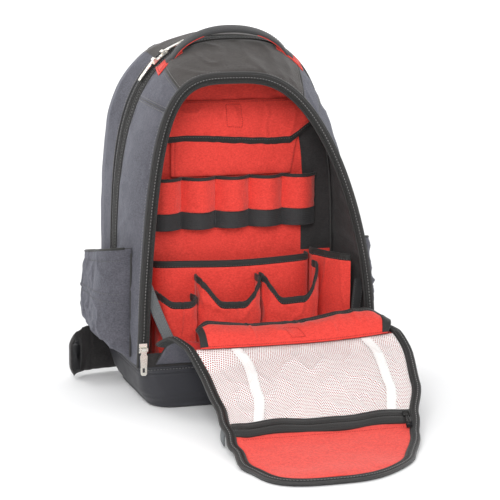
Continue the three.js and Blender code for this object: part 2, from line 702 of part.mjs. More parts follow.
// Zip edge of the flap, along the same rows, from where it leaves the hinge on each side
const RIM_ROWS = FLAP_ROWS.filter((along) => along >= FLAP_RIM_START);
const RIM_STATIONS = [
  ...RIM_ROWS.map((along) => ({ side: -1, along })),
  ...RIM_ROWS.toReversed().map((along) => ({ side: 1, along })),
];
function flapRimFace(lift) {
  return (u, v) => {
    const { side, along } = RIM_STATIONS[Math.round(u * (RIM_STATIONS.length - 1))];
    const inner = { across: side * (flapHalf(along, FLAP_INSET) + FLAP_SEAM), along };
    const t = flapShare(along, FLAP_INSET);
    const outer = flapOutline(side < 0 ? t : 1 - t, 0);
    if (along > 0.99 * FLAP_TIP) inner.along += FLAP_SEAM;
    return flapPoint(lerp(outer.across, inner.across, v), lerp(outer.along, inner.along, v), lift);
  };
}
add('flap_rim', shell(flapRimFace(FLAP_RIM_HEIGHT), flapRimFace(0), RIM_STATIONS.length - 1, 1), TRIM);

// Net pocket, its two tapes, and the red tip pocket with its zip
const crown = (share) => Math.sin(Math.PI * clamp(share, 0, 1));
const meshRise = (u, v) => MESH_SWELL * (crown(u) * crown(clamp(v, 0.02, 0.98))) ** 0.6;
const MESH_LOW = FLAP_CLOTH + GAP;
const NET_THICKNESS = 1.5;
const netLow = (u, v) => MESH_LOW + meshRise(u, v);
const netHigh = (u, v) => netLow(u, v) + NET_THICKNESS;
add('mesh_pocket', flapPatch(MESH_START, ZIP_POCKET_START, netLow, netHigh), NET);

const TAPES = [{ name: 'left', across: -0.58 }, { name: 'right', across: 0.67 }];
for (const tape of TAPES) {
  const face = (extra) => (u, v) => {
    const along = lerp(MESH_START + 2, ZIP_POCKET_START - 2, u);
    const across = tape.across * HALF + (v - 0.5) * MESH_TAPE_WIDTH;
    const place = (along - MESH_START) / (ZIP_POCKET_START - MESH_START);
    const share = 0.5 + across / (2 * flapHalf(along, FLAP_INSET));
    return flapPoint(across, along, netHigh(share, place) + 3 * GAP + extra);
  };
  add(`mesh_strap_${tape.name}`, shell(face(0.8), face(0), 16, 1), WHITE_TAPE);
}

const ZIP_BAND_LIFT = 3;
const bandHigh = even(MESH_LOW + ZIP_BAND_LIFT);
add('zip_pocket_band', flapPatch(ZIP_POCKET_START, BAND_END, even(MESH_LOW), bandHigh), TRIM);
const tipRise = (u, v) => MESH_LOW + ZIP_BAND_LIFT * crown(u) * crown(v);
const tipHigh = (u, v) => tipRise(u, v) + POCKET_CLOTH;
add('zip_pocket', flapPatch(BAND_END, FLAP_TIP, tipRise, tipHigh), RED_CLOTH);

// Cover of the net pocket, folded back towards the bag. at is a share of the way across; x is the top edge in
// half-widths, out and up its place as shares of the flap's reach and rise
const NET_COVER = [
  { at: 0.0, low: -0.93, x: -0.53, out: 0.055, up: 1.3 },
  { at: 0.08, low: -0.8, x: -0.44, out: 0.04, up: 1.42 },
  { at: 0.34, low: -0.32, x: -0.1, out: 0.03, up: 1.32 },
  { at: 0.6, low: 0.2, x: 0.36, out: 0.03, up: 1.32 },
  { at: 0.82, low: 0.6, x: 0.8, out: 0.035, up: 1.43 },
  { at: 0.92, low: 0.8, x: 1.02, out: 0.045, up: 1.46 },
  { at: 1.0, low: 0.9, x: 1.17, out: 0.09, up: 1.3 },
];
const NET_COVER_LIFT = MESH_LOW + NET_THICKNESS + 5;
function netCoverPoint(u, v) {
  const row = tableRow(NET_COVER, 'at', u);
  const foot = flapPoint(row.low * HALF * 0.98, MESH_START + 3, NET_COVER_LIFT);
  const top = vec(row.x * HALF, -BODY_FRONT - 6 - row.out * FLAP_REACH, row.up * FLAP_RISE);
  const swell = 7 * Math.sin(Math.PI * clamp(v, 0, 1));
  return foot.lerp(top, v).add(vec(0, -0.7 * swell, 0.7 * swell));
}
const COVER_STOP = 0.86;
add('mesh_cover', sheet((u, v) => netCoverPoint(u, v * COVER_STOP), 16, 3, POCKET_CLOTH, -1), RED_CLOTH);
const netCoverEdge = (u, v) => netCoverPoint(u, lerp(COVER_STOP + 0.03, 1.04, v)).add(vec(0, -0.3, 0.3));
add('mesh_cover_binding', sheet(netCoverEdge, 16, 1, BINDING, -1), TRIM);

// Slider and corded pull of the tip pocket, at the right end of its zip
const SMALL_PULL = { width: 7, length: 34, height: 3.2, inFromRim: 9 };
const pullAcross = flapHalf(ZIP_POCKET_START, FLAP_INSET) - SMALL_PULL.inFromRim;
const pullAlong = ZIP_POCKET_START + ZIP_POCKET_BAND / 2 + SMALL_PULL.length / 2 - 5;
const pullLow = MESH_LOW + ZIP_BAND_LIFT + POCKET_CLOTH + GAP;
const smallPullFace = (lift) => (u, v) => {
  const across = pullAcross + (u - 0.5) * SMALL_PULL.width;
  return flapPoint(across, pullAlong + (v - 0.5) * SMALL_PULL.length, lift);
};
const smallPull = shell(smallPullFace(pullLow + SMALL_PULL.height), smallPullFace(pullLow), 1, 3);
add('zip_pocket_pull', smallPull, TRIM);

// Webbing tab under the flap's left edge
const TAB_ALONG = 0.52 * FLAP_LENGTH;
function tabFace(thick) {
  return (u, v) => {
    const along = TAB_ALONG + (u - 0.5) * TAB_WIDTH;
    const top = flapPoint(-flapHalf(along, 0) + 3 + thick, along, -4 * GAP);
    return top.add(vec(-3 * v, -4 * v, 0)).setZ(lerp(top.z, Math.max(0.6, top.z - TAB_LENGTH), v));
  };
}
add('hang_tab', shell(tabFace(0), tabFace(WEBBING), 2, 2), GREY_WEBBING);

// Webbing that holds the flap, from the inside of the rim to the flap's hinge
const STAY_WIDTH = 14;
for (const side of [-1, 1]) {
  const name = side < 0 ? 'left' : 'right';
  const topZ = side < 0 ? 0.35 * BODY_HEIGHT : 0.33 * BODY_HEIGHT;
  const wall = sideX(0.05, topZ, side) - side * (CLOTH + GAP + STAY_WIDTH / 2);
  const top = vec(wall, bagY(0.06, topZ), topZ);
  const lowZ = FOOT + LIP_HEIGHT + 2.1;
  const lowX = side < 0 ? -0.66 * HALF : 0.95 * HALF;
  const low = vec(lowX, bagY(0, lowZ) + CLOTH + 2 * GAP, lowZ);
  const middle = top.clone().lerp(low, 0.5).add(vec(0, 3, -2));
  const line = low.clone().sub(top).normalize();
  const across = vec(-line.z, 0, line.x).multiplyScalar(side);
  const stay = strap([top, middle, low], across, STAY_WIDTH, WEBBING, 6);
  add(`stay_strap_${name}`, stay, side < 0 ? GREY_WEBBING : TRIM);
}

// Carry handle and its two folded anchors

const HANDLE_AT = ZIP_AT - depthShare(2 + HANDLE_WIDTH / 2);
const ANCHOR = { length: 34, width: HANDLE_WIDTH + 6, thickness: 1.6 };
const anchorSpan = (side) => archAcross(HANDLE_AT, (side * HANDLE_SPAN) / 2);
const archLength = archLine(HANDLE_AT).lengths.at(-1);
for (const side of [-1, 1]) {
  const foot = anchorSpan(side);
  const face = (depth) => (u, v) => {
    const t = foot - side * (u - 0.5) * (ANCHOR.length / archLength);
    const at = HANDLE_AT + depthShare((v - 0.5) * ANCHOR.width * (1.1 - 0.75 * u));
    return bagPoint(at, t, -depth - swellAt(at) - GAP);
  };
  const name = `handle_anchor_${side < 0 ? 'left' : 'right'}`;
  add(name, shell(face(ANCHOR.thickness), face(0), 4, 3), RED_CLOTH);
}
const HANDLE_FOOT_LENGTH = 20;
function handlePoint(u, v) {
  const from = anchorSpan(-1);
  const to = anchorSpan(1);
  const t = lerp(from, to, u);
  const at = HANDLE_AT + depthShare((v - 0.5) * HANDLE_WIDTH);
  const flat = u * (to - from) * archLength;
  const near = Math.min(flat, (to - from) * archLength - flat) / HANDLE_FOOT_LENGTH;
  const lift = HANDLE_BOW * clamp((near - 0.55) / 2.6, 0, 1) ** 0.75;
  return bagPoint(at, t, -swellAt(at) - 2 * GAP - ANCHOR.thickness - lift);
}
add('top_handle', sheet(handlePoint, 24, 1, BINDING, 1), TRIM);

// Side pockets, swelling out from the bag's sides

const SIDE_POCKET = { front: 0.165, rear: 0.935 };
const POCKET_HEIGHT = { lowFront: 0.14, lowRear: 0.178, topFront: 0.44, topRear: 0.375 };
for (const side of [-1, 1]) {
  const face = (extra) => (u, v) => {
    const at = lerp(SIDE_POCKET.front, SIDE_POCKET.rear, u);
    const top = lerp(POCKET_HEIGHT.topFront, POCKET_HEIGHT.topRear, u);
    const low = lerp(POCKET_HEIGHT.lowFront, POCKET_HEIGHT.lowRear, u);
    const z = lerp(low, top, v ** 1.4) * BODY_HEIGHT;
    const plan = Math.max(0, 1 - Math.abs(2 * u - 1) ** 4) ** 0.5;
    const upright = Math.min(1, 0.12 + 2.4 * v ** 0.75) * (1 - 0.2 * v ** 3);
    const flat = archFlat(at, archAtHeight(at, z, side), 0);
    const overZip = ZIP_PROUD * Math.min(1, 1.5 * plan);
    const out = swellAt(at) + overZip + 2.6 * GAP + SIDE_POCKET_SWELL * plan * upright + extra;
    return vec(flat.x + side * out, bagY(at, flat.skinZ), z);
  };
  add(`side_pocket_${side < 0 ? 'left' : 'right'}`, shell(face(CLOTH), face(0), 12, 7), BLACK_CLOTH);
}

// Thickness of a padded strip, as a share: thin along its edges and at its ends
function paddedEdge(u, v) {
  const across = 0.35 + 0.65 * Math.sqrt(Math.max(0, 1 - (2 * v - 1) ** 4));
  return across * Math.min(1, 0.45 + 6 * u, 0.45 + 6 * (1 - u));
}

// Shoulder straps: a padded strap from the top of the back and its webbing down to the lower back

const STRAP_Y = BACK_Y + CLOTH + GAP;
const STRAP_LINE = [
  { x: 0.26, y: 0.02, z: 0.925 },
  { x: 0.33, y: 0.62, z: 0.93 },
  { x: 0.4, y: 0.98, z: 0.86 },
  { x: 0.46, y: 1.0, z: 0.74 },
  { x: 0.52, y: 0.92, z: 0.6 },
  { x: 0.57, y: 0.7, z: 0.47 },
  { x: 0.6, y: 0.52, z: 0.38 },
];
const WEB_LINE = [
  { x: 0.61, y: 0.55, z: 0.355 },
  { x: 0.68, y: 0.38, z: 0.29 },
  { x: 0.79, y: 0.14, z: 0.225 },
  { x: 0.83, y: 0.02, z: 0.18 },
];
function backLine(rows, side) {
  return rows.map((row) => (
    vec(side * row.x * HALF, STRAP_Y + BACK_PAD + row.y * STRAP_BOW, row.z * BODY_HEIGHT)
  ));
}
for (const side of [-1, 1]) {
  const name = side < 0 ? 'left' : 'right';
  const rows = backLine(STRAP_LINE, side);
  rows[0].y = STRAP_Y + 1;
  const padded = (u, v) => {
    const curve = new THREE.CatmullRomCurve3(rows);
    return curve.getPoint(u).add(vec((v - 0.5) * STRAP_WIDTH * (1 - 0.22 * u), 0, 0));
  };
  const thick = (u, v) => STRAP_PAD * paddedEdge(u, v);
  add(`shoulder_strap_${name}`, sheet(padded, 12, 4, thick, -1), BLACK_CLOTH);
  const web = backLine(WEB_LINE, side);
  web[3].y = STRAP_Y + 0.5;
  add(`strap_web_${name}`, strap(web, vec(1, 0, 0), 25, WEBBING, 8, -1), TRIM);
}

// Hip belt wings, folded forward round the back corners

const WING = [
  { x: 0.744, y: 1.0 },
  { x: 0.88, y: 1.06 },
  { x: 1.02, y: 1.06 },
  { x: 1.14, y: 0.98 },
  { x: 1.21, y: 0.84 },
  { x: 1.23, y: 0.7 },
];
const WING_LOW = 2;
const WING_BACK_GAP = 3;
for (const side of [-1, 1]) {
  const line = WING.map((row) => vec(side * row.x * HALF, row.y * STRAP_Y + WING_BACK_GAP, 0));
  const curve = new THREE.CatmullRomCurve3(line);
  const surface = (u, v) => {
    const height = WING_HEIGHT * (1 - 0.25 * u ** 2);
    return curve.getPoint(u).setZ(WING_LOW + v * height);
  };
  const thick = (u, v) => WING_PAD * paddedEdge(u, v);
  add(`hip_wing_${side < 0 ? 'left' : 'right'}`, sheet(surface, 8, 4, thick, -side), BLACK_CLOTH);
}

// Metal sliders and their pulls

const EYE_WALL = 1.2;
const PIVOT_HEIGHT = SLIDER_PLATE + PIN_RADIUS + EYE_WALL + 2 * GAP;
const EAR = 1.6;
const PULL_ROOT = SLIDER_WIDTH - 2 * EAR - 2 * GAP;

// Prism with an outline in its own X and Y, raised along Z and centred there
function prism(shape, height) {
  const settings = { depth: height, bevelEnabled: false, curveSegments: 8 };
  return new THREE.ExtrudeGeometry(shape, settings).translate(0, 0, -height / 2);
}

function boxAt(x, y, z, dx, dy, dz) {
  return new THREE.BoxGeometry(dx, dy, dz).translate(x, y, z);
}

// Slider: a plate with two ears and the pin between them. Its own X is across and -Y the way its pull points
function sliderSolid() {
  const pin = new THREE.CylinderGeometry(PIN_RADIUS, PIN_RADIUS, SLIDER_WIDTH - EAR, 10);
  pin.rotateZ(Math.PI / 2).translate(0, 0, PIVOT_HEIGHT);
  const earHeight = PIVOT_HEIGHT + PIN_RADIUS + 1;
  const pieces = [boxAt(0, 1, SLIDER_PLATE / 2, SLIDER_WIDTH, SLIDER_LENGTH, SLIDER_PLATE), pin];
  for (const side of [-1, 1]) {
    pieces.push(boxAt((side * (SLIDER_WIDTH - EAR)) / 2, 0, earHeight / 2, EAR, 5, earHeight));
  }
  return fromManifold(pieces.map(toManifold).reduce((sum, piece) => sum.add(piece)));
}

// Pull: a flat bar with an eye round the pin and a window near its end
function pullSolid() {
  const eye = PIN_RADIUS + GAP;
  const side = new THREE.Shape();
  side.absarc(0, 0, eye + EYE_WALL, 0, 2 * Math.PI);
  side.holes.push(new THREE.Path().absarc(0, 0, eye, 0, 2 * Math.PI, true));
  const ring = prism(side, PULL_ROOT).rotateY(Math.PI / 2);
  const root = PULL_ROOT / 2;
  const half = PULL_WIDTH / 2;
  const start = -eye - 0.4;
  const plan = new THREE.Shape([
    [-root, start], [-root, -6], [-half, -9], [-half * 0.82, -PULL_LENGTH + 2], [-half * 0.5, -PULL_LENGTH],
    [half * 0.5, -PULL_LENGTH], [half * 0.82, -PULL_LENGTH + 2], [half, -9], [root, -6], [root, start],
  ].map(([x, y]) => new THREE.Vector2(x, y)));
  const window = new THREE.Path([
    [-half * 0.36, -PULL_LENGTH + 4.5], [half * 0.36, -PULL_LENGTH + 4.5],
    [half * 0.36, -PULL_LENGTH + 10.5], [-half * 0.36, -PULL_LENGTH + 10.5],
  ].map(([x, y]) => new THREE.Vector2(x, y)));
  plan.holes.push(window);
  return fromManifold(toManifold(ring).add(toManifold(prism(plan, PULL_THICKNESS))));
}

// Place of a slider: its foot on the track, the way out of the track and the way the pull points
function seat(point, out, down) {
  const z = out.clone().normalize();
  const y = down.clone().negate().addScaledVector(z, down.dot(z)).normalize();
  const x = y.clone().cross(z);
  return new THREE.Matrix4().makeBasis(x, y, z).setPosition(point.clone().addScaledVector(z, GAP));
}

function bandSeat(t, way) {
  const at = (ZIP_AT + BAND_AT) / 2;
  const flat = archFlat(at, t, 0);
  const ahead = archFlat(at, t + way * 0.01, 0);
  const out = vec(-flat.inward.x, 0, -flat.inward.y);
  const point = bagPoint(at, t, -ZIP_PROUD - 0.8);
  return seat(point, out, vec(ahead.x - flat.x, 0, ahead.z - flat.z));
}

function trackSeat(side) {
  const z = TRACK_END + 5;
  const middle = sideX(0, z, side) - side * RIM_WIDTH * 0.3;
  return seat(vec(middle, bagY(0, z) - GAP - RIM_THICKNESS - 0.2, z), vec(0, -1, 0), vec(0, 0, -1));
}

const REAR_SLIDER_T = archAcross((ZIP_AT + BAND_AT) / 2, -0.6 * HALF);
const REAR_SLIDER_STEP = (SLIDER_LENGTH + 2) / archLength;
const REAR_TILT = 10;
const HARDWARE = [
  { slider: 'rear_slider_low', pull: 'rear_pull_low', tilt: REAR_TILT, place: bandSeat(REAR_SLIDER_T, -1) },
  {
    slider: 'rear_slider_high',
    pull: 'rear_pull_high',
    tilt: REAR_TILT,
    place: bandSeat(REAR_SLIDER_T + REAR_SLIDER_STEP, 1),
  },
  { slider: 'front_slider_left', pull: 'front_pull_left', tilt: 0, place: trackSeat(-1) },
  { slider: 'front_slider_right', pull: 'front_pull_right', tilt: 0, place: trackSeat(1) },
];
for (const item of HARDWARE) {
  const holder = new THREE.Group();
  item.place.decompose(holder.position, holder.quaternion, holder.scale);
  const slider = new THREE.Mesh(sliderSolid(), METAL);
  slider.name = item.slider;
  const pull = new THREE.Mesh(pullSolid(), METAL);
  pull.name = item.pull;
  pull.position.z = PIVOT_HEIGHT;
  pull.rotation.x = THREE.MathUtils.degToRad(item.tilt);
  holder.add(slider, pull);
  bag.add(holder);
}

export default bag;
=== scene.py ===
"""Looks of the tool backpack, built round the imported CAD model. Lengths in the tables are millimetres."""

import math

import bmesh
import bpy
import numpy as np
from mathutils import Matrix, Vector


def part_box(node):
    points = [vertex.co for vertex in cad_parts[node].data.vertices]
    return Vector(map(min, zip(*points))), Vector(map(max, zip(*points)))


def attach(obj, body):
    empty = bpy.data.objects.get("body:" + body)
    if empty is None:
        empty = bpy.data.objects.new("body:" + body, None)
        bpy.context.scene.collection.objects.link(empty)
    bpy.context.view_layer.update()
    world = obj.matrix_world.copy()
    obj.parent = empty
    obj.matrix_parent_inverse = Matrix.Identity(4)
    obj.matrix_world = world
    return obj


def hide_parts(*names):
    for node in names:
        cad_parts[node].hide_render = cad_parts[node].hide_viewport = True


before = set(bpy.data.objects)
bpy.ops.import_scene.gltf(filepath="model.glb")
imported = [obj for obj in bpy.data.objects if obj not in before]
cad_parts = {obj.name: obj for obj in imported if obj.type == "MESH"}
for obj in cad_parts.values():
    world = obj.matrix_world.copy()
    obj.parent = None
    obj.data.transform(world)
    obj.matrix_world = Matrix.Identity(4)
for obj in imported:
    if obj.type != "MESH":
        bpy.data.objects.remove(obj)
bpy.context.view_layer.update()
MM = 0.001

# Camera at the photograph's viewing angle: degrees, distance in mm, and focal length in pixels
PICTURE_SIDE = 500.0
AZ, EL, DIST, FOCAL, ROLL = 17.5, 11.0, 2800.0, 2020.0, 0.45
AIM = np.array([17.5, -60.0, 204.5])


def make_camera():
    a, e, r = (math.radians(v) for v in (AZ, EL, ROLL))
    back = np.array([-math.sin(a) * math.cos(e), -math.cos(a) * math.cos(e), math.sin(e)])
    right = np.array([math.cos(a), -math.sin(a), 0.0])
    up = np.cross(right, -back)
    x = right * math.cos(r) + up * math.sin(r)
    y = -right * math.sin(r) + up * math.cos(r)
    place = (AIM + back * DIST) * MM
    data = bpy.data.cameras.new("camera")
    data.sensor_width = 36.0
    data.lens = FOCAL * data.sensor_width / PICTURE_SIDE
    data.clip_end = 20.0
    camera = bpy.data.objects.new("camera", data)
    bpy.context.scene.collection.objects.link(camera)
    camera.matrix_world = Matrix(
        [[x[k], y[k], back[k], place[k]] for k in range(3)] + [[0, 0, 0, 1]]
    )
    bpy.context.scene.camera = camera


make_camera()

# Sizes of the part, as in its source
BODY_WIDTH, BODY_HEIGHT, BODY_DEPTH, BODY_FRONT = 322.0, 498.0, 219.0, 121.0
FRONT_LEAN, WIDEST_HEIGHT, GUSSET_SWELL, ZIP_BAND_WIDTH, LIP_HEIGHT = 0.035, 115.0, 3.0, 22.0, 18.0
BOOT_HEIGHT, BOOT_WIDTH, BOOT_WALL, BOOT_FLOOR, BOOT_CORNER = 62.0, 314.0, 3.0, 4.0, 34.0
GAP, CLOTH, POCKET_CLOTH, BINDING, BINDING_HEIGHT, WEBBING = 0.3, 2.4, 1.8, 3.0, 9.0, 2.0
RIM_WIDTH, RIM_THICKNESS = 12.0, 3.0
FLAP_REACH, FLAP_RISE, FLAP_CLOTH, FLAP_RIM_START = 374.0, 90.0, 3.0, 18.0
MESH_START, ZIP_POCKET_START, ZIP_POCKET_BAND, MESH_SWELL = 60.0, 212.0, 20.0, 8.0
HALF = BODY_WIDTH / 2
SIDES = ((-1, "left"), (1, "right"))
FOOT = BOOT_HEIGHT + GAP
ZIP_AT = BODY_FRONT / BODY_DEPTH
BAND_AT = ZIP_AT + ZIP_BAND_WIDTH / BODY_DEPTH

ARCH = np.array([
    # at, wide, top, side, roof, low, high
    [0.0, 1.034, 0.912, 3.2, 1.45, 0.079, -0.14],
    [ZIP_AT, 0.958, 0.988, 2.7, 3.9, -0.03, 0.045],
    [0.83, 1.0, 1.0, 2.2, 6.0, 0.0, 0.015],
    [0.95, 0.99, 0.993, 2.2, 5.8, 0.0, 0.02],
    [1.0, 0.95, 0.976, 2.2, 5.4, 0.0, 0.02],
])
FLAP = np.array([
    # out, up, shift, squeeze, left, right
    [0.0, 0.735, 0.06, 0.93, 0.0, 0.02],
    [0.04, 0.88, 0.12, 0.925, 0.17, 0.2],
    [0.078, 0.967, 0.19, 0.92, 0.2, 0.2],
    [0.131, 1.0, 0.29, 0.915, 0.04, 0.1],
    [0.211, 0.868, 0.34, 0.9, -0.16, 0.04],
    [0.372, 0.516, 0.31, 0.905, -0.09, 0.04],
    [0.521, 0.23, 0.225, 0.905, 0.02, 0.03],
    [0.639, 0.088, 0.165, 0.93, 0.02, 0.02],
    [0.8, 0.013, 0.075, 0.97, 0.0, 0.0],
    [1.0, 0.013, -0.05, 0.98, 0.0, 0.0],
])


def lerp(a, b, t):
    return a + (b - a) * t


def smooth(t):
    t = np.clip(t, 0.0, 1.0)
    return t * t * (3 - 2 * t)


def unit(v):
    return v / np.maximum(np.linalg.norm(v, axis=-1), 1e-9)[..., None]


def run_length(line):
    """Length along a line of points, up to each of them."""
    return np.r_[0, np.cumsum(np.linalg.norm(np.diff(line, axis=0), axis=1))]


def bell(v, at, width):
    return np.exp(-(((v - at) / width) ** 2))


def rolled(v):
    """Round back of a folded tape, from 0 at its edges to 1."""
    return np.sqrt(np.clip(1 - (2 * v - 1) ** 4, 0, 1))


def shares(nu, nv, low=0, high=1):
    """Grid of places: nu shares across, and nv from low to high."""
    return np.meshgrid(np.linspace(0, 1, nu), np.linspace(low, high, nv), indexing="ij")


def table_row(table, value):
    x = min(max(value, table[0, 0]), table[-1, 0])
    k = 0
    while k < len(table) - 2 and table[k + 1, 0] < x:
        k += 1
    share = (x - table[k, 0]) / (table[k + 1, 0] - table[k, 0])
    return table[k] + (table[k + 1] - table[k]) * share


ARCH_LINES = {}


def arch_line(at, straight=False):
    """Points and lengths of one section's arch, from the left foot to the right foot."""
    key = (round(at, 5), straight)
    if key not in ARCH_LINES:
        _, wide, top, side, roof, low, high = table_row(ARCH, at)
        angle = math.pi * (1 - np.linspace(0, 1, 241))
        c, s = np.cos(angle), np.clip(np.sin(angle), 0, 1)
        across = np.sign(c) * np.abs(c) ** (2 / side)
        up = s ** (2 / roof)
        shift = 0.0 if straight else HALF * (low + (high - low) * up**2)
        x = across * wide * HALF + shift
        z = WIDEST_HEIGHT + up * (top * BODY_HEIGHT - WIDEST_HEIGHT)
        foot = wide * HALF if straight else BOOT_WIDTH / 2
        p = np.vstack([[-foot, FOOT], np.c_[x, z], [foot, FOOT]])
        lengths = run_length(p)
        keep = np.r_[True, np.diff(lengths) > 1e-9]
        p, lengths = p[keep], lengths[keep]
        tangent = unit(np.gradient(p, axis=0))
        inward = np.c_[tangent[:, 1], -tangent[:, 0]]
        for _ in range(3):
            inward[1:-1] = (inward[:-2] + 2 * inward[1:-1] + inward[2:]) / 4
        inward[0], inward[-1] = (1, 0), (-1, 0)
        inward = unit(inward)
        ARCH_LINES[key] = (p, lengths, inward)
    return ARCH_LINES[key]


def arch_flat(at, t, straight=False):
    """Places and inward directions, in X and Z, at shares t of one section's arch."""
    p, lengths, inward = arch_line(at, straight)
    s = np.clip(np.asarray(t, float), 0, 1) * lengths[-1]
    pick = lambda col: np.interp(s, lengths, col)
    n = unit(np.c_[pick(inward[:, 0]), pick(inward[:, 1])])
    return np.c_[pick(p[:, 0]), pick(p[:, 1])], n


def bag_y(at, z):
    return at * BODY_DEPTH - BODY_FRONT + FRONT_LEAN * z * max(0.0, 1 - at / ZIP_AT)


def swell_at(at):
    return GUSSET_SWELL * math.sin(math.pi * min(max(at / ZIP_AT, 0), 1)) if at < ZIP_AT else 0.0


def bag_row(at, t, inset):
    """Points of the bag's skin along one section, moved inwards by inset, and their inward directions."""
    p, n = arch_flat(at, t)
    q = p + n * np.reshape(inset, (-1, 1))
    y = [bag_y(at, z) for z in p[:, 1]]
    return np.c_[q[:, 0], y, q[:, 1]], np.c_[n[:, 0], np.zeros(len(n)), n[:, 1]]


def arch_at_height(at, z, side):
    t = np.linspace(0, 0.5, 400)
    p, _ = arch_flat(at, t if side < 0 else 1 - t)
    k = int(np.argmax(p[:, 1] >= z))
    return t[k] if side < 0 else 1 - t[k]


def arch_across(at, x):
    t = np.linspace(0, 1, 800)
    p, _ = arch_flat(at, t)
    return t[int(np.argmax(p[:, 0] >= x))]


def side_x(at, z, side):
    return float(arch_flat(at, [arch_at_height(at, z, side)])[0][0, 0])


def bag_at(y):
    return (y + BODY_FRONT) / BODY_DEPTH


def inside_outline(y, inset, count):
    rows = []
    for k in range(count + 1):
        at = bag_at(y)
        for _ in range(4):
            p, n = arch_flat(at, [k / count])
            at = bag_at(y - FRONT_LEAN * p[0, 1] * max(0.0, 1 - at / ZIP_AT))
        p, n = arch_flat(at, [k / count])
        rows.append(p[0] + n[0] * inset)
    return np.array(rows)


# Flap


def catmull_centripetal(points, samples=60):
    """Points and tangents of a centripetal Catmull-Rom line, with the parameter of each."""
    P = np.vstack([2 * points[0] - points[1], points, 2 * points[-1] - points[-2]])
    out, tang = [], []
    n = len(points) - 1
    for k in range(n):
        p0, p1, p2, p3 = P[k], P[k + 1], P[k + 2], P[k + 3]
        d = [max(np.linalg.norm(b - a) ** 0.5, 1e-4) for a, b in ((p0, p1), (p1, p2), (p2, p3))]
        t1 = (p1 - p0) / d[0] - (p2 - p0) / (d[0] + d[1]) + (p2 - p1) / d[1]
        t2 = (p2 - p1) / d[1] - (p3 - p1) / (d[1] + d[2]) + (p3 - p2) / d[2]
        t1, t2 = t1 * d[1], t2 * d[1]
        w = np.linspace(0, 1, samples + 1)[: samples + (k == n - 1)][:, None]
        c0, c1 = p1, t1
        c2 = -3 * p1 + 3 * p2 - 2 * t1 - t2
        c3 = 2 * p1 - 2 * p2 + t1 + t2
        out.append(c0 + c1 * w + c2 * w**2 + c3 * w**3)
        tang.append(c1 + 2 * c2 * w + 3 * c3 * w**2)
    out, tang = np.vstack(out), np.vstack(tang)
    tang = unit(tang)
    param = np.linspace(0, 1, len(out))
    lengths = run_length(out)
    return out, tang, param, lengths


FLAP_HINGE = -BODY_FRONT + 0.2
TRACK_END = FOOT + LIP_HEIGHT + 4
HINGE_WIDTH = side_x(0.0, TRACK_END, 1) / (1.033 * HALF)
FLAP_LINE = catmull_centripetal(
    np.c_[np.zeros(len(FLAP)), FLAP_HINGE - FLAP[:, 0] * FLAP_REACH, FLAP[:, 1] * FLAP_RISE]
)
FLAP_LENGTH = float(FLAP_LINE[3][-1])
FLAP_FOOT = arch_line(0.0, True)[0][0, 1]
FLAP_TOP = float(arch_flat(0.0, [0.5], True)[0][0, 1])


def flap_point(across, along, lift):
    """Points on the flap: across in its flat width, along from its hinge, lifted off its underside."""
    across, along, lift = np.broadcast_arrays(
        np.asarray(across, float), np.asarray(along, float), np.asarray(lift, float)
    )
    line, tang, param, lengths = FLAP_LINE
    s = np.clip(along, 0, FLAP_LENGTH)
    pick = lambda col: np.interp(s, lengths, col)
    cy, cz = pick(line[:, 1]), pick(line[:, 2])
    ty, tz = pick(tang[:, 1]), pick(tang[:, 2])
    place = pick(param) * (len(FLAP) - 1)
    k = np.clip(place.astype(int), 0, len(FLAP) - 2)
    part = smooth(place - k)
    mix = lambda c: FLAP[k, c] + (FLAP[k + 1, c] - FLAP[k, c]) * part
    rise = np.where(across < 0, mix(4), mix(5)) * FLAP_RISE * (np.abs(across) / HALF) ** 2
    narrow = lerp(HINGE_WIDTH, 1, np.clip(along / MESH_START, 0, 1))
    x = (mix(2) * HALF + across * mix(3)) * narrow
    return np.stack([x, cy + tz * lift, np.maximum(cz + rise, 0) - ty * lift], -1)


def flap_outline(t, inset):
    p, n = arch_flat(0.0, t, True)
    q = p + n * inset
    return q[:, 0], (q[:, 1] - FLAP_FOOT) / (FLAP_TOP - FLAP_FOOT) * FLAP_LENGTH


HALF_ARCH = np.linspace(0, 0.5, 1500)


def flap_half(along, inset):
    x, a = flap_outline(HALF_ARCH, inset)
    a = np.maximum.accumulate(a)
    return np.abs(np.interp(along, a, x))


# Meshes


def noise3(p, scale, seed=0):
    """Smooth gradient noise at points p, of about -1 to 1."""
    q = np.asarray(p, float) / scale + seed * 17.31
    i = np.floor(q).astype(np.int64)
    f = q - i
    w = f * f * f * (f * (f * 6 - 15) + 10)

    def grad(c):
        h = (c[..., 0] * 374761393 + c[..., 1] * 668265263 + c[..., 2] * 2147483647
             + seed * 974634) & 0xFFFFFFFF
        h = ((h ^ (h >> 13)) * 1274126177) & 0xFFFFFFFF
        h = h ^ (h >> 16)
        a = (h & 0xFFFF) / 65535.0 * 2 * math.pi
        z = ((h >> 16) & 0xFFFF) / 65535.0 * 2 - 1
        r = np.sqrt(1 - z * z)
        return np.stack([r * np.cos(a), r * np.sin(a), z], -1)

    total = 0.0
    for dx in (0, 1):
        for dy in (0, 1):
            for dz in (0, 1):
                d = np.array([dx, dy, dz])
                g = grad(i + d)
                v = ((f - d) * g).sum(-1)
                wx = w[..., 0] if dx else 1 - w[..., 0]
                wy = w[..., 1] if dy else 1 - w[..., 1]
                wz = w[..., 2] if dz else 1 - w[..., 2]
                total = total + v * wx * wy * wz
    return total * 1.6


def creases(p, scale, seed=0, sharp=0.5):
    """Soft cloth folds: rounded ridges, 0 to 1."""
    n = noise3(p, scale, seed) + 0.35 * noise3(p, scale * 0.45, seed + 5)
    return np.clip(1 - np.abs(n) / sharp, 0, 1) ** 1.5


def add_piece(name, mesh, slot, body="bag", replaces=()):
    ob = bpy.data.objects.new(name, mesh)
    bpy.context.scene.collection.objects.link(ob)
    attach(ob, body)
    if replaces:
        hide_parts(*replaces)
    return ob


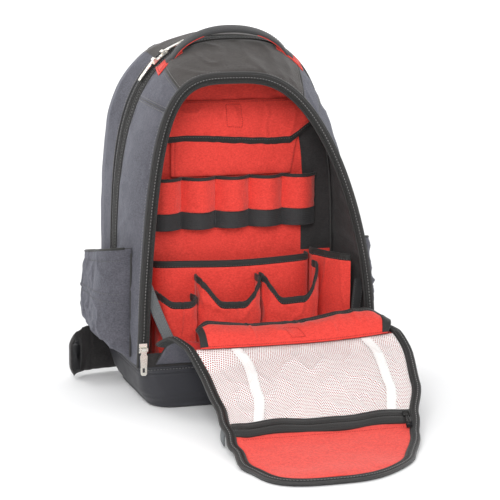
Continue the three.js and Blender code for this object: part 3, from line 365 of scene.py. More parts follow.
def write_uv(mesh, uvs):
    """Cloth coordinates of the vertices, in mm, as a UV layer in metres."""
    layer = mesh.uv_layers.new(name="cloth")
    loops = np.zeros(len(mesh.loops), np.int32)
    mesh.loops.foreach_get("vertex_index", loops)
    layer.data.foreach_set("uv", (np.asarray(uvs, float)[loops] * MM).astype(np.float32).ravel())


def new_object(name, verts, faces, uvs, materials, slot, face_mat=None, rounded=True, replaces=()):
    mesh = bpy.data.meshes.new(name)
    mesh.from_pydata((np.asarray(verts, float) * MM).tolist(), [], faces)
    write_uv(mesh, uvs)
    for m in materials:
        mesh.materials.append(m)
    if face_mat is not None:
        mesh.polygons.foreach_set("material_index", np.asarray(face_mat, np.int32))
    mesh.polygons.foreach_set("use_smooth", np.full(len(mesh.polygons), rounded))
    mesh.update()
    return add_piece(name, mesh, slot, replaces=replaces)


def grid_normals(P):
    du, dv = np.gradient(P, axis=0), np.gradient(P, axis=1)
    n = np.cross(du, dv)
    return unit(n)


def facing(P, axis, way=1):
    """Normals of a grid, turned so that most of them point along an axis."""
    n = grid_normals(P)
    return n * np.sign(way * n[..., axis].mean())


def arc_uv(P):
    """Flat coordinates, in mm, of a grid of points."""
    across, down = (np.linalg.norm(np.diff(P, axis=k), axis=2) for k in (0, 1))
    su = np.concatenate([np.zeros((1, P.shape[1])), np.cumsum(across, 0)], 0)
    sv = np.concatenate([np.zeros((P.shape[0], 1)), np.cumsum(down, 1)], 1)
    su = su - su[su.shape[0] // 2][None, :]
    mean_u = np.repeat(su.mean(1)[:, None], P.shape[1], 1)
    mean_v = np.repeat(sv.mean(0)[None, :], P.shape[0], 0)
    return np.stack([mean_u, mean_v], -1)


def sheet(name, P, thick, mats, slot, N, replaces=(), face_mat=None):
    """Cloth of a thickness over a grid. mats is one material, or three for front, back and edge."""
    nu, nv = P.shape[:2]
    N = np.broadcast_to(np.asarray(N, float), P.shape)
    th = np.broadcast_to(np.asarray(thick, float), (nu, nv))[..., None]
    Q = P + N * th
    idx = np.arange(nu * nv).reshape(nu, nv)
    a, b, c, d = (part.ravel() for part in (idx[:-1, :-1], idx[1:, :-1], idx[1:, 1:], idx[:-1, 1:]))
    front, back = np.c_[a, b, c, d], np.c_[a, d, c, b] + nu * nv
    ring = np.r_[idx[:, 0], idx[-1, 1:], idx[-2::-1, -1], idx[0, -2:0:-1]]
    flat_uv = arc_uv(P).reshape(-1, 2)
    # The edge is rounded by a row of points between the two faces
    i, j = np.divmod(ring, nv)
    out = unit(P[i, j] - P[np.clip(i, 1, nu - 2), np.clip(j, 1, nv - 2)])
    middle = (P[i, j] + Q[i, j]) / 2 + out * th[i, j] * 0.35
    m, after = np.arange(len(ring)) + 2 * nu * nv, np.roll(ring, -1)
    m_after = np.roll(m, -1)
    far, far_after = ring + nu * nv, after + nu * nv
    edge = np.vstack([np.c_[ring, m, m_after, after], np.c_[m, far, far_after, m_after]])
    faces = np.vstack([front, back, edge])
    # Faces point outwards when the volume that they enclose is positive
    V = np.vstack([P.reshape(-1, 3), Q.reshape(-1, 3), middle])
    A, B, C, D = (V[faces[:, k]] for k in range(4))
    if (A * np.cross(B, C)).sum() + (A * np.cross(C, D)).sum() < 0:
        faces = faces[:, ::-1]
    tag = np.r_[np.zeros(len(front), int), np.ones(len(back), int), np.full(len(edge), 2)]
    mats = mats if isinstance(mats, (list, tuple)) else [mats]
    if face_mat is not None:
        tag = face_mat(P, tag)
    elif len(mats) < 3:
        tag = np.zeros(len(tag), int)
    uvs = np.vstack([flat_uv, flat_uv, flat_uv[ring]])
    return new_object(name, V, faces.tolist(), uvs, mats, slot, tag, replaces=replaces)


def tube_data(line, radius, sides=8, closed=False):
    """A round tube along a line of points."""
    L = np.asarray(line, float)
    n = len(L)
    T = unit(np.roll(L, -1, 0) - np.roll(L, 1, 0) if closed else np.gradient(L, axis=0))
    ref = np.array([0.0, 0.0, 1.0]) if abs(T[0, 2]) < 0.9 else np.array([1.0, 0.0, 0.0])
    u = unit(np.cross(T[0], ref))
    U = np.zeros_like(L)
    for k in range(n):
        u = unit(u - T[k] * (u @ T[k]))
        U[k] = u
    W = np.cross(T, U)
    ang = np.arange(sides) * 2 * math.pi / sides
    ring = U[:, None] * np.cos(ang)[None, :, None] + W[:, None] * np.sin(ang)[None, :, None]
    V = (L[:, None] + ring * radius).reshape(-1, 3)
    k = np.arange(n if closed else n - 1)[:, None]
    j, j_next = np.arange(sides)[None], (np.arange(sides)[None] + 1) % sides
    row, row_next = k * sides, ((k + 1) % n) * sides
    faces = np.stack([row + j, row + j_next, row_next + j_next, row_next + j], -1).reshape(-1, 4).tolist()
    s = run_length(L)
    UV = np.stack(np.meshgrid(s, np.arange(sides) * 1.0, indexing="ij"), -1).reshape(-1, 2)
    if not closed:
        start = len(V)
        V = np.vstack([V, L[0] - T[0] * radius * 0.5, L[-1] + T[-1] * radius * 0.5])
        UV = np.vstack([UV, [0, 0], [s[-1], 0]])
        last = (n - 1) * sides
        for j in range(sides):
            faces.append([start, (j + 1) % sides, j])
            faces.append([start + 1, last + j, last + (j + 1) % sides])
    return V, faces, UV


def join_data(parts):
    V, F, UV, base = [], [], [], 0
    for v, f, uv in parts:
        V.append(v)
        UV.append(uv)
        F += [[i + base for i in face] for face in f]
        base += len(v)
    return np.vstack(V), F, np.vstack(UV)


def tubes(name, lines, radius, mat, slot, sides=8, replaces=(), closed=False):
    parts = join_data([tube_data(line, radius, sides, closed) for line in lines])
    return new_object(name, *parts, [mat], slot, replaces=replaces)


def resample(line, pitch):
    L = np.asarray(line, float)
    s = run_length(L)
    n = max(int(round(s[-1] / pitch)), 2)
    q = np.linspace(0, s[-1], n + 1)
    return np.stack([np.interp(q, s, L[:, k]) for k in range(3)], -1)


def line_frame(line, out, pitch):
    """Points at a pitch along a line, with their outward and forward directions."""
    L, O = resample(line, pitch), np.asarray(out, float)
    if O.ndim == 1:
        O = np.repeat(O[None], len(L), 0)
    else:
        s0, s1 = np.linspace(0, 1, len(O)), np.linspace(0, 1, len(L))
        O = np.stack([np.interp(s1, s0, O[:, k]) for k in range(3)], -1)
    return L, unit(O), unit(np.gradient(L, axis=0))


def dashes(name, lines, mat, slot, pitch=4.2, length=2.9, width=0.55, lift=0.15):
    """Rows of sewn stitches: each line is points with their outward directions."""
    # Corners of a stitch: shares of its half length, its height and its width
    corner = np.array([[-1, -0.6, 0], [-0.6, 0, 1], [0.6, 0, 1], [1, -0.6, 0],
                       [0.6, 0, -1], [-0.6, 0, -1], [-0.5, 1, 0], [0.5, 1, 0]])
    f = [[0, 1, 6], [1, 2, 7, 6], [2, 3, 7], [3, 4, 7], [4, 5, 6, 7], [5, 0, 6], [0, 5, 4, 3, 2, 1]]
    parts = []
    for line, out in lines:
        L, O, T = line_frame(line, out, pitch)
        S = np.cross(T, O)
        for k in range(len(L) - 1):
            axes = np.array([T[k] * length / 2, O[k] * width * 0.8, S[k] * width])
            parts.append(((L[k] + L[k + 1]) / 2 + O[k] * lift + corner @ axes, f, np.zeros((8, 2))))
    return new_object(name, *join_data(parts), [mat], slot)


def boxes_along(name, line, out, mat, slot, pitch, size, skew=0.0, lift=0.0):
    """Small rounded blocks along a line, such as zip teeth. size is along, across and high."""
    L, O, T = line_frame(line, out, pitch)
    S = np.cross(O, T)
    square = np.array([[-1, -1], [1, -1], [1, 1], [-1, 1]])
    corner = np.vstack([np.c_[square, np.zeros(4)], np.c_[0.7 * square, np.ones(4)]])
    f = [[0, 3, 2, 1], [4, 5, 6, 7], [0, 1, 5, 4], [1, 2, 6, 5], [2, 3, 7, 6], [3, 0, 4, 7]]
    parts = []
    for k in range(len(L)):
        along = T[k] * size[0] / 2 + S[k] * skew * (1 if k % 2 else -1)
        axes = np.array([along, S[k] * size[1] / 2, O[k] * size[2]])
        parts.append((L[k] + O[k] * lift + corner @ axes, f, np.zeros((8, 2))))
    return new_object(name, *join_data(parts), [mat], slot, rounded=False)


# Materials


# Pitch, length and width of the finer stitches, and for the boxes how far they stand out
EDGE_STITCH, RED_STITCH, BOX_STITCH = (3.6, 2.4, 0.45), (3.2, 2.2, 0.45), (3.0, 2.1, 0.5, 0.3)


class Nodes:
    """Short hand for building one material's node tree."""

    def __init__(self, name):
        self.mat = bpy.data.materials.new(name)
        self.mat.use_nodes = True
        self.tree = self.mat.node_tree
        self.bsdf = self.tree.nodes["Principled BSDF"]

    def add(self, kind, **props):
        node = self.tree.nodes.new(kind)
        inputs = props.pop("inputs", {})
        for key, value in props.items():
            setattr(node, key, value)
        for key, value in inputs.items():
            if isinstance(value, bpy.types.NodeSocket):
                self.tree.links.new(value, node.inputs[key])
            else:
                node.inputs[key].default_value = value
        return node

    def link(self, a, b):
        self.tree.links.new(a, b)

    def maths(self, op, a, b=0.0, clamp=False):
        node = self.add("ShaderNodeMath", operation=op, use_clamp=clamp)
        for k, v in enumerate((a, b)):
            if isinstance(v, bpy.types.NodeSocket):
                self.link(v, node.inputs[k])
            else:
                node.inputs[k].default_value = v
        return node.outputs[0]

    def mix(self, factor, a, b):
        node = self.add("ShaderNodeMix", data_type="RGBA")
        for key, v in ((0, factor), (6, a), (7, b)):
            if isinstance(v, bpy.types.NodeSocket):
                self.link(v, node.inputs[key])
            else:
                node.inputs[key].default_value = v if key == 0 else (*v, 1.0)
        return node.outputs[2]

    def noise(self, vector, scale, detail=3.0, rough=0.55):
        node = self.add("ShaderNodeTexNoise", inputs={"Scale": scale, "Detail": detail, "Roughness": rough})
        self.link(vector, node.inputs["Vector"])
        return node.outputs[0]

    def bump(self, height, strength, distance, below=None):
        node = self.add("ShaderNodeBump", inputs={"Strength": strength, "Distance": distance})
        self.link(height, node.inputs["Height"])
        if below is not None:
            self.link(below, node.inputs["Normal"])
        return node.outputs[0]


def srgb(*c):
    return tuple(((v / 255) / 12.92 if v / 255 <= 0.04045 else ((v / 255 + 0.055) / 1.055) ** 2.4) for v in c)


def woven(name, color, dark, pitch=0.9, rough=0.8, sheen=0.15, tint=(1, 1, 1), bump=0.35, dust=0.12,
          fold=0.4):
    """Woven cloth: over and under threads of a pitch in mm, mottled colour and soft folds."""
    n = Nodes(name)
    uv = n.add("ShaderNodeTexCoord")
    sep = n.add("ShaderNodeSeparateXYZ")
    n.link(uv.outputs["UV"], sep.inputs[0])
    k = math.pi / (pitch * MM)
    sx = n.maths("SINE", n.maths("MULTIPLY", sep.outputs[0], k))
    sy = n.maths("SINE", n.maths("MULTIPLY", sep.outputs[1], k))
    over = n.maths("MULTIPLY", sx, sy)
    ax, ay = n.maths("ABSOLUTE", sx), n.maths("ABSOLUTE", sy)
    warp = n.maths("GREATER_THAN", over, 0.0)
    thread = n.add("ShaderNodeMix", data_type="FLOAT")
    n.link(warp, thread.inputs[0])
    n.link(ax, thread.inputs[2])
    n.link(ay, thread.inputs[3])
    weave = n.maths("POWER", thread.outputs[0], 0.6)
    obj = uv.outputs["Object"]
    big = n.noise(obj, 14.0, 4.0, 0.6)
    mid = n.noise(obj, 120.0, 3.0, 0.6)
    fine = n.noise(obj, 420.0, 2.0, 0.75)
    slub = n.add("ShaderNodeMapping", inputs={"Scale": (260.0, 260.0, 1300.0)})
    n.link(obj, slub.inputs["Vector"])
    streak = n.noise(slub.outputs[0], 1.0, 2.0, 0.6)
    fine = n.maths("MULTIPLY", n.maths("SUBTRACT", n.maths("ADD", fine, streak), 0.72), 1.9, True)
    shade = n.maths("ADD", n.maths("MULTIPLY", weave, 0.4), n.maths("MULTIPLY", fine, 0.6))
    base = n.mix(shade, dark, color)
    worn = n.mix(n.maths("MULTIPLY", n.maths("SUBTRACT", big, 0.42, True), 1.6 * dust), base,
                 tuple(min(1, c * 1.9 + 0.03) for c in color))
    final = n.mix(n.maths("MULTIPLY", n.maths("SUBTRACT", mid, 0.5, True), 0.5), worn, dark)
    n.link(final, n.bsdf.inputs["Base Color"])
    n.link(n.maths("ADD", n.maths("MULTIPLY", mid, 0.16), rough - 0.08), n.bsdf.inputs["Roughness"])
    n.bsdf.inputs["Sheen Weight"].default_value = sheen
    n.bsdf.inputs["Sheen Roughness"].default_value = 0.5
    n.bsdf.inputs["Sheen Tint"].default_value = (*tint, 1.0)
    n.bsdf.inputs["Specular IOR Level"].default_value = 0.35
    soft = n.bump(n.noise(obj, 45.0, 4.0, 0.55), fold, 0.0022)
    n.link(n.bump(weave, bump, 0.00022, soft), n.bsdf.inputs["Normal"])
    return n.mat


def ribbed(name, color, dark, pitch=1.1, rough=0.7, bump=0.5, across=True):
    """Webbing or binding tape with fine ribs."""
    n = Nodes(name)
    uv = n.add("ShaderNodeTexCoord")
    sep = n.add("ShaderNodeSeparateXYZ")
    n.link(uv.outputs["UV"], sep.inputs[0])
    k = 2 * math.pi / (pitch * MM)
    one, two = (sep.outputs[0], sep.outputs[1]) if across else (sep.outputs[1], sep.outputs[0])
    rib = n.maths("SINE", n.maths("MULTIPLY", one, k))
    zig = n.maths("SINE", n.maths("ADD", n.maths("MULTIPLY", two, k * 0.5), n.maths("MULTIPLY", rib, 1.2)))
    height = n.maths("ADD", n.maths("MULTIPLY", rib, 0.5), n.maths("MULTIPLY", zig, 0.35))
    obj = uv.outputs["Object"]
    fine = n.noise(obj, 700.0, 2.0, 0.6)
    base = n.mix(n.maths("ADD", n.maths("MULTIPLY", height, 0.25), fine, True), dark, color)
    n.link(base, n.bsdf.inputs["Base Color"])
    n.bsdf.inputs["Roughness"].default_value = rough
    n.bsdf.inputs["Sheen Weight"].default_value = 0.1
    soft = n.bump(n.noise(obj, 60.0, 3.0, 0.5), 0.25, 0.0015)
    n.link(n.bump(height, bump, 0.00025, soft), n.bsdf.inputs["Normal"])
    return n.mat


def netting(name, color, pitch=2.3, fill=0.62):
    """Open net: round holes in rows, set half a step from row to row."""
    n = Nodes(name)
    uv = n.add("ShaderNodeTexCoord")
    scaled = n.add("ShaderNodeVectorMath", operation="SCALE", inputs={"Scale": 1000.0 / pitch})
    n.link(uv.outputs["UV"], scaled.inputs[0])
    sep = n.add("ShaderNodeSeparateXYZ")
    n.link(scaled.outputs[0], sep.inputs[0])
    row = n.maths("FLOOR", n.maths("MULTIPLY", sep.outputs[1], 1.1547))
    half = n.maths("MULTIPLY", n.maths("MODULO", row, 2.0), 0.5)
    fx = n.maths("SUBTRACT", n.maths("FRACT", n.maths("ADD", sep.outputs[0], half)), 0.5)
    fy = n.maths("SUBTRACT", n.maths("FRACT", n.maths("MULTIPLY", sep.outputs[1], 1.1547)), 0.5)
    far = n.maths("SQRT", n.maths("ADD", n.maths("POWER", fx, 2.0),
                                  n.maths("POWER", n.maths("MULTIPLY", fy, 0.87), 2.0)))
    radius = math.sqrt((1 - fill) * 0.866 / math.pi)
    hole = n.maths("LESS_THAN", far, radius)
    solid = n.maths("SUBTRACT", 1.0, hole)
    obj = uv.outputs["Object"]
    fine = n.noise(obj, 500.0, 2.0, 0.6)
    n.link(n.mix(fine, tuple(c * 0.86 for c in color), color), n.bsdf.inputs["Base Color"])
    n.link(solid, n.bsdf.inputs["Alpha"])
    n.bsdf.inputs["Roughness"].default_value = 0.35
    n.bsdf.inputs["Sheen Weight"].default_value = 0.2
    ridge = n.maths("MULTIPLY", n.maths("SUBTRACT", far, radius, True), 2.2)
    n.link(n.bump(ridge, 0.3, 0.0004), n.bsdf.inputs["Normal"])
    return n.mat


def moulded(name, color, rough=0.5):
    """Moulded tub: fine leather-like grain and rubbed high spots."""
    n = Nodes(name)
    obj = n.add("ShaderNodeTexCoord").outputs["Object"]
    grain = n.add("ShaderNodeTexVoronoi", inputs={"Scale": 900.0})
    n.link(obj, grain.inputs["Vector"])
    big = n.noise(obj, 9.0, 5.0, 0.6)
    mid = n.noise(obj, 70.0, 4.0, 0.65)
    base = n.mix(n.maths("MULTIPLY", big, 0.7), tuple(c * 0.72 for c in color),
                 tuple(min(1, c * 1.25) for c in color))
    scuff = n.maths("MULTIPLY", n.maths("SUBTRACT", mid, 0.6, True), 1.2)
    n.link(n.mix(scuff, base, tuple(c * 2.1 + 0.02 for c in color)), n.bsdf.inputs["Base Color"])
    n.link(n.maths("ADD", n.maths("MULTIPLY", mid, 0.25), rough - 0.1), n.bsdf.inputs["Roughness"])
    n.bsdf.inputs["Specular IOR Level"].default_value = 0.4
    soft = n.bump(n.noise(obj, 30.0, 3.0, 0.5), 0.25, 0.0015)
    n.link(n.bump(grain.outputs["Distance"], 0.25, 0.0002, soft), n.bsdf.inputs["Normal"])
    return n.mat


def steel(name, color, rough=0.3):
    """Nickel-plated metal with fine scratches."""
    n = Nodes(name)
    obj = n.add("ShaderNodeTexCoord").outputs["Object"]
    stretch = n.add("ShaderNodeMapping", inputs={"Scale": (300.0, 300.0, 2500.0)})
    n.link(obj, stretch.inputs["Vector"])
    scratch = n.noise(stretch.outputs[0], 1.0, 3.0, 0.7)
    spots = n.noise(obj, 260.0, 3.0, 0.6)
    n.link(n.mix(spots, tuple(c * 0.82 for c in color), color), n.bsdf.inputs["Base Color"])
    n.bsdf.inputs["Metallic"].default_value = 1.0
    n.link(n.maths("ADD", n.maths("MULTIPLY", scratch, 0.25), rough - 0.1), n.bsdf.inputs["Roughness"])
    n.link(n.bump(scratch, 0.12, 0.0001), n.bsdf.inputs["Normal"])
    return n.mat


M = {
    "side": woven("side_cloth", srgb(90, 89, 97), srgb(34, 34, 40), 1.3, tint=(0.8, 0.85, 1.0), dust=0.3,
                  bump=0.6, fold=0.8),
    "top": woven("top_cloth", srgb(64, 58, 55), srgb(29, 26, 25), 1.3, dust=0.15, bump=0.5),
    # The lining cloth is also used as painted shade on the right side of the divider's front
    "dark": woven("lining_and_painted_shade_cloth", srgb(50, 47, 47), srgb(20, 19, 20), 1.0, dust=0.1),
    "red": woven("red_cloth", srgb(232, 70, 58), srgb(182, 34, 30), 0.7, rough=0.82, sheen=0.25,
                 tint=(1.0, 0.75, 0.7), bump=0.25, dust=0.05),
    "red_dark": woven("red_lining", srgb(206, 44, 38), srgb(150, 24, 22), 0.7, rough=0.85, sheen=0.15,
                      tint=(1, 0.7, 0.7), bump=0.25, dust=0.03),
    "bind": ribbed("binding_tape", srgb(33, 34, 32), srgb(10, 10, 9), 1.2),
    "track": ribbed("zip_tape", srgb(32, 31, 30), srgb(10, 10, 9), 0.9, across=False),
    "pipe": ribbed("piping", srgb(44, 43, 42), srgb(16, 16, 16), 1.6, rough=0.5),
    "web": ribbed("webbing", srgb(40, 40, 41), srgb(14, 14, 15), 1.6),
    "grey": ribbed("grey_webbing", srgb(112, 116, 118), srgb(64, 67, 69), 1.4),
    "white": ribbed("white_tape", srgb(250, 248, 246), srgb(214, 210, 208), 1.2),
    "net": netting("net_cloth", srgb(252, 246, 244), 3.0, 0.6),
    "pad": netting("air_mesh", srgb(40, 40, 42), 3.0, 0.8),
    "boot": moulded("boot_moulding", srgb(52, 52, 57)),
    "metal": steel("pull_metal", srgb(244, 240, 230), 0.22),
    "teeth": moulded("coil_teeth", srgb(48, 47, 46), 0.35),
    "thread": moulded("grey_thread", srgb(132, 131, 130), 0.6),
    "black_thread": moulded("black_thread", srgb(34, 34, 35), 0.6),
    "red_thread": moulded("red_thread", srgb(170, 34, 32), 0.6),
    "soft_thread": moulded("soft_thread", srgb(92, 92, 92), 0.6),
    "white_thread": moulded("white_thread", srgb(226, 224, 222), 0.6),
    "elastic": ribbed("elastic_band", srgb(46, 46, 48), srgb(20, 20, 21), 1.2, bump=0.6, across=False),
    "handle": ribbed("handle_tape", srgb(50, 50, 52), srgb(24, 24, 25), 1.5),
    "rubber": moulded("buckle_plastic", srgb(34, 34, 36), 0.45),
}

# Body: sides and roof of the bag


def bag_grid(at_from, at_to, na, nt, waves):
    """Grid over the bag's skin: rows run across the depth, columns along the arch."""
    t = np.linspace(0, 1, nt + 1)
    rows, normals = [], []
    for at in np.linspace(at_from, at_to, na + 1):
        p, n = bag_row(at, t, -swell_at(at))
        rows.append(p)
        normals.append(n)
    P, N = np.array(rows), np.array(normals)
    at = np.linspace(at_from, at_to, na + 1)[:, None] + 0 * t[None]
    return P - N * waves(P, at)[..., None], N


def edge_fade(at, lo, hi, width=0.05):
    return smooth((at - lo) / width) * smooth((hi - at) / width)


def front_waves(P, at):
    fade = edge_fade(at, 0.0, ZIP_AT, 0.06)
    stretched = P * np.array([1.0, 0.45, 1.0])
    w = 2.2 * noise3(stretched, 60, 3) + 1.1 * noise3(stretched, 24, 4)
    w += 1.6 * (creases(P * np.array([1, 0.35, 1.0]), 46, 11, 0.28) - 0.3) * smooth((P[..., 2] - 90) / 60)
    return w * fade


def rear_waves(P, at):
    fade = edge_fade(at, BAND_AT, 1.0, 0.05)
    w = 1.5 * noise3(P * np.array([1.0, 0.5, 1.0]), 60, 7) + 0.8 * noise3(P, 26, 8)
    return w * fade


P, N = bag_grid(0.0, ZIP_AT - GAP / BODY_DEPTH, 44, 300, waves=front_waves)


def split_top(lo, hi):
    """Face tags: side cloth, roof cloth or lining."""

    def pick(P, tag):
        cells_u, cells_v = P.shape[0] - 1, P.shape[1] - 1
        t = (np.arange(cells_v) + 0.5) / cells_v
        roof = (t > lo) & (t < hi)
        front = np.tile(np.where(roof, 1, 0), cells_u)
        out = np.zeros(len(tag), int)
        out[: len(front)] = front
        out[len(front) : 2 * len(front)] = 2
        return out

    return pick


SEAM_T = (0.4, 0.6)
LOW_SEAM = ((0.366, 0.345), (0.634, 0.655))
sheet("front_gusset_cloth", P, CLOTH, [M["side"], M["top"], M["dark"]], "black_fabric", N=N,
      replaces=["front_gusset"], face_mat=split_top(*SEAM_T))
P, N = bag_grid(BAND_AT + GAP / BODY_DEPTH, 1.0, 34, 300, waves=rear_waves)
sheet("rear_gusset_cloth", P, CLOTH, [M["side"], M["top"], M["dark"]], "black_fabric", N=N,
      replaces=["rear_gusset"], face_mat=split_top(*SEAM_T))

# Rear zip: two cloth lips over a coil


def band_profile(v):
    """Height of the zip band over its cloth, across its width."""
    lips = bell(v, 0.3, 0.13) + bell(v, 0.7, 0.13)
    return 0.2 + 1.5 * lips - 0.9 * bell(v, 0.5, 0.06)


t = np.linspace(0, 1, 301)
rows, normals = [], []
for v in np.linspace(0, 1, 23):
    at = lerp(ZIP_AT, BAND_AT, v)
    p, n = bag_row(at, t, 0.0)
    rows.append(p - n * (band_profile(v) + 0.25 * noise3(p, 18, 21)[:, None]))
    normals.append(n)
sheet("rear_zip_cloth", np.array(rows), CLOTH, M["track"], "trim_fabric", N=np.array(normals),
      replaces=["rear_zip_band"])


def bag_line(at, t0, t1, inset, count=260):
    t = np.linspace(t0, t1, count)
    p, n = bag_row(at, t, inset - swell_at(at))
    return p, -n


ZIP_MID = (ZIP_AT + BAND_AT) / 2
line, out = bag_line(ZIP_MID, 0.03, 0.97, -0.6, 700)
boxes_along("rear_zip_coil", line, out, M["teeth"], "trim_fabric", 1.7, (1.0, 4.2, 0.9), skew=0.25)

# Piping along the seams of the bag
seams = []
for at, inset in ((0.004, -1.0), (ZIP_AT - 0.006, -0.9), (BAND_AT + 0.008, -0.9), (0.997, -0.8)):
    seams.append(bag_line(at, 0.0, 1.0, inset, 240)[0])
tubes("rim_piping", [seams[0]], 2.0, M["pipe"], "trim_fabric")
tubes("zip_piping", seams[1:3], 1.1, M["pipe"], "trim_fabric", sides=6)
tubes("rear_piping", [seams[3]], 2.0, M["pipe"], "trim_fabric")

stitch = []
for at in (0.035, ZIP_AT - 0.03, BAND_AT + 0.03, 0.965):
    stitch.append(bag_line(at, 0.02, 0.98, -0.1, 400))
for v in (0.16, 0.84):
    stitch.append(bag_line(lerp(ZIP_AT, BAND_AT, v), 0.02, 0.98, -0.9, 400))
dashes("gusset_stitches", stitch, M["thread"], "trim_fabric")

# Cross seams where the side cloth meets the roof cloth
cross = []
for ts in [(s, s) for s in SEAM_T] + list(LOW_SEAM):
    for off in (-0.0035, 0.0035):
        pts, outs = [], []
        for at in np.linspace(0.012, ZIP_AT - 0.012, 30):
            p, n = bag_row(at, [lerp(*ts, at / ZIP_AT) + off], -0.2 - swell_at(at))
            pts.append(p[0])
            outs.append(-n[0])
        cross.append((np.array(pts), np.array(outs)))
dashes("cross_stitches", cross, M["thread"], "trim_fabric")
welts = []
for ts in [(s, s) for s in SEAM_T] + list(LOW_SEAM):
    pts = []
    for at in np.linspace(0.004, ZIP_AT - 0.006, 30):
        p, n = bag_row(at, [lerp(*ts, at / ZIP_AT)], -0.1 - swell_at(at))
        pts.append(p[0])
    welts.append(np.array(pts))
tubes("cross_welts", welts, 0.9, M["pipe"], "trim_fabric", sides=6)

# Zip track round the opening: tape, coil and stitches
t0, t1 = arch_at_height(0.0, TRACK_END, -1), arch_at_height(0.0, TRACK_END, 1)
t = np.linspace(t0, t1, 301)
rows = []
for v in np.linspace(0, 1, 15):
    p, n = bag_row(0.0, t, v * RIM_WIDTH)
    bulge = 1.1 * bell(v, 0.12, 0.14) - 0.5 * bell(v, 0.62, 0.12)
    wavy = 0.5 * noise3(p, 40, 31)
    rows.append(p + np.array([0, -GAP - RIM_THICKNESS + 0.9, 0]) - np.c_[0 * wavy, bulge + wavy, 0 * wavy])
sheet("rim_tape", np.array(rows), 2.0, M["track"], "trim_fabric", N=[0, 1.0, 0],
      replaces=["rim_track"])
p, n = bag_row(0.0, np.linspace(t0, t1, 900), RIM_WIDTH * 0.7)
boxes_along("rim_coil", p + [0, -GAP - RIM_THICKNESS + 0.7, 0], [0, -1, 0], M["teeth"], "trim_fabric", 1.7,
            (1.0, 3.4, 1.2), skew=0.2)
p, n = bag_row(0.0, np.linspace(t0, t1, 500), RIM_WIDTH * 0.36)
dashes("rim_stitches", [(p + [0, -GAP - RIM_THICKNESS + 0.6, 0], [0, -1, 0])], M["thread"], "trim_fabric")


# Inside of the front compartment

DIVIDER_FRONT = -0.165 * BODY_FRONT
FRONT_DEPTH = DIVIDER_FRONT + BODY_FRONT
FLOOR_TOP = BOOT_FLOOR + GAP


def ahead(share):
    return DIVIDER_FRONT - GAP - share * FRONT_DEPTH


def outline_grid(outline, low, high, nu, nv, ease=2.0):
    """Grid of X and Z inside an outline that runs from its left foot over the top to its right foot."""
    k = int(np.argmax(outline[:, 1]))
    left, right = outline[: k + 1], outline[k:][::-1]
    z = low + (high - low) * (1 - (1 - np.linspace(0, 1, nv + 1)) ** ease)
    xl = np.interp(z, np.maximum.accumulate(left[:, 1]), left[:, 0])
    xr = np.interp(z, np.maximum.accumulate(right[:, 1]), right[:, 0])
    u = np.linspace(0, 1, nu + 1)[:, None]
    return xl[None] + (xr - xl)[None] * u, np.repeat(z[None], nu + 1, 0)


def boot_half(z):
    rows = np.array([[0.0, 0.852], [0.36, 0.94], [1.0, 1.0]])
    return float(np.interp(z / BOOT_HEIGHT, rows[:, 0], rows[:, 1])) * BOOT_WIDTH / 2


arch = inside_outline(DIVIDER_FRONT, CLOTH + 0.8 - GUSSET_SWELL / 3, 200)
rim_x = min(BOOT_WIDTH / 2 - BOOT_WALL - 1, abs(arch[0, 0]))
low_x = boot_half(FLOOR_TOP) - BOOT_WALL - 1
upper = arch[arch[:, 1] > FOOT + 2]
outline = np.vstack([[-low_x, FLOOR_TOP], [-rim_x, BOOT_HEIGHT - 1], upper, [rim_x, BOOT_HEIGHT - 1],
                     [low_x, FLOOR_TOP]])
X, Z = outline_grid(outline, FLOOR_TOP, outline[:, 1].max() - 0.3, 72, 90)
P = np.stack([X, np.full_like(X, DIVIDER_FRONT), Z], -1)
w = (1.5 + 1.3 * noise3(P * [1, 1, 0.6], 48, 41) + 0.7 * noise3(P, 20, 42)
     + 1.3 * creases(P * [1, 1, 0.45], 42, 43, 0.3))
P = P + np.array([0, 1.0, 0]) * np.clip(w, 0, 4)[..., None]


def divider_faces_with_painted_shade(P, tag):
    """Red front, except a strip at its right between heights 195 and 405 in the dark lining cloth, which is
    painted shade cast by the right side wall; black lining on the back and the edges.
    """
    mid_x = (P[:-1, :-1, 0] + P[1:, 1:, 0]).ravel() / 2
    mid_z = (P[:-1, :-1, 2] + P[1:, 1:, 2]).ravel() / 2
    edge = 0.66 * HALF - 5 * np.clip((mid_z - 300) / 60, 0, 1)
    out = np.ones(len(tag), int)
    # Painted shade: front faces right of edge and between heights 195 and 405 take the dark lining cloth,
    # where the right side wall casts its shadow
    out[: len(mid_x)] = (mid_x > edge) & (mid_z < 405) & (mid_z > 195)
    return out


sheet("divider_cloth", P, CLOTH, [M["red"], M["dark"]], "red_fabric", N=[0, 1.0, 0],
      replaces=["divider_panel"],
      face_mat=divider_faces_with_painted_shade)
out_line = np.vstack([[-rim_x + 2, BOOT_HEIGHT], upper + (np.array([0, BODY_HEIGHT * 0.5]) - upper) * 0.012,
                      [rim_x - 2, BOOT_HEIGHT]])
tubes("divider_piping", [np.c_[out_line[:, 0], np.full(len(out_line), DIVIDER_FRONT - 0.6), out_line[:, 1]]],
      1.5, M["pipe"], "trim_fabric", sides=6)


def plan_normals(plan):
    T = unit(np.gradient(plan, axis=0))
    return np.c_[-T[:, 1], T[:, 0]]


def even_plan(plan, count):
    s = run_length(plan)
    q = np.linspace(0, s[-1], count + 1)
    return np.c_[np.interp(q, s, plan[:, 0]), np.interp(q, s, plan[:, 1])]


def hat_plan(left, right, rear, front, count=110):
    middle, half = (left + right) / 2, (right - left) / 2
    a = math.pi * (1 - np.linspace(0, 1, 1201))
    c, s = np.cos(a), np.clip(np.sin(a), 0, 1)
    x = middle + half * np.sign(c) * np.abs(c) ** 0.45
    return even_plan(np.c_[x, rear + (front - rear) * s**0.55], count)


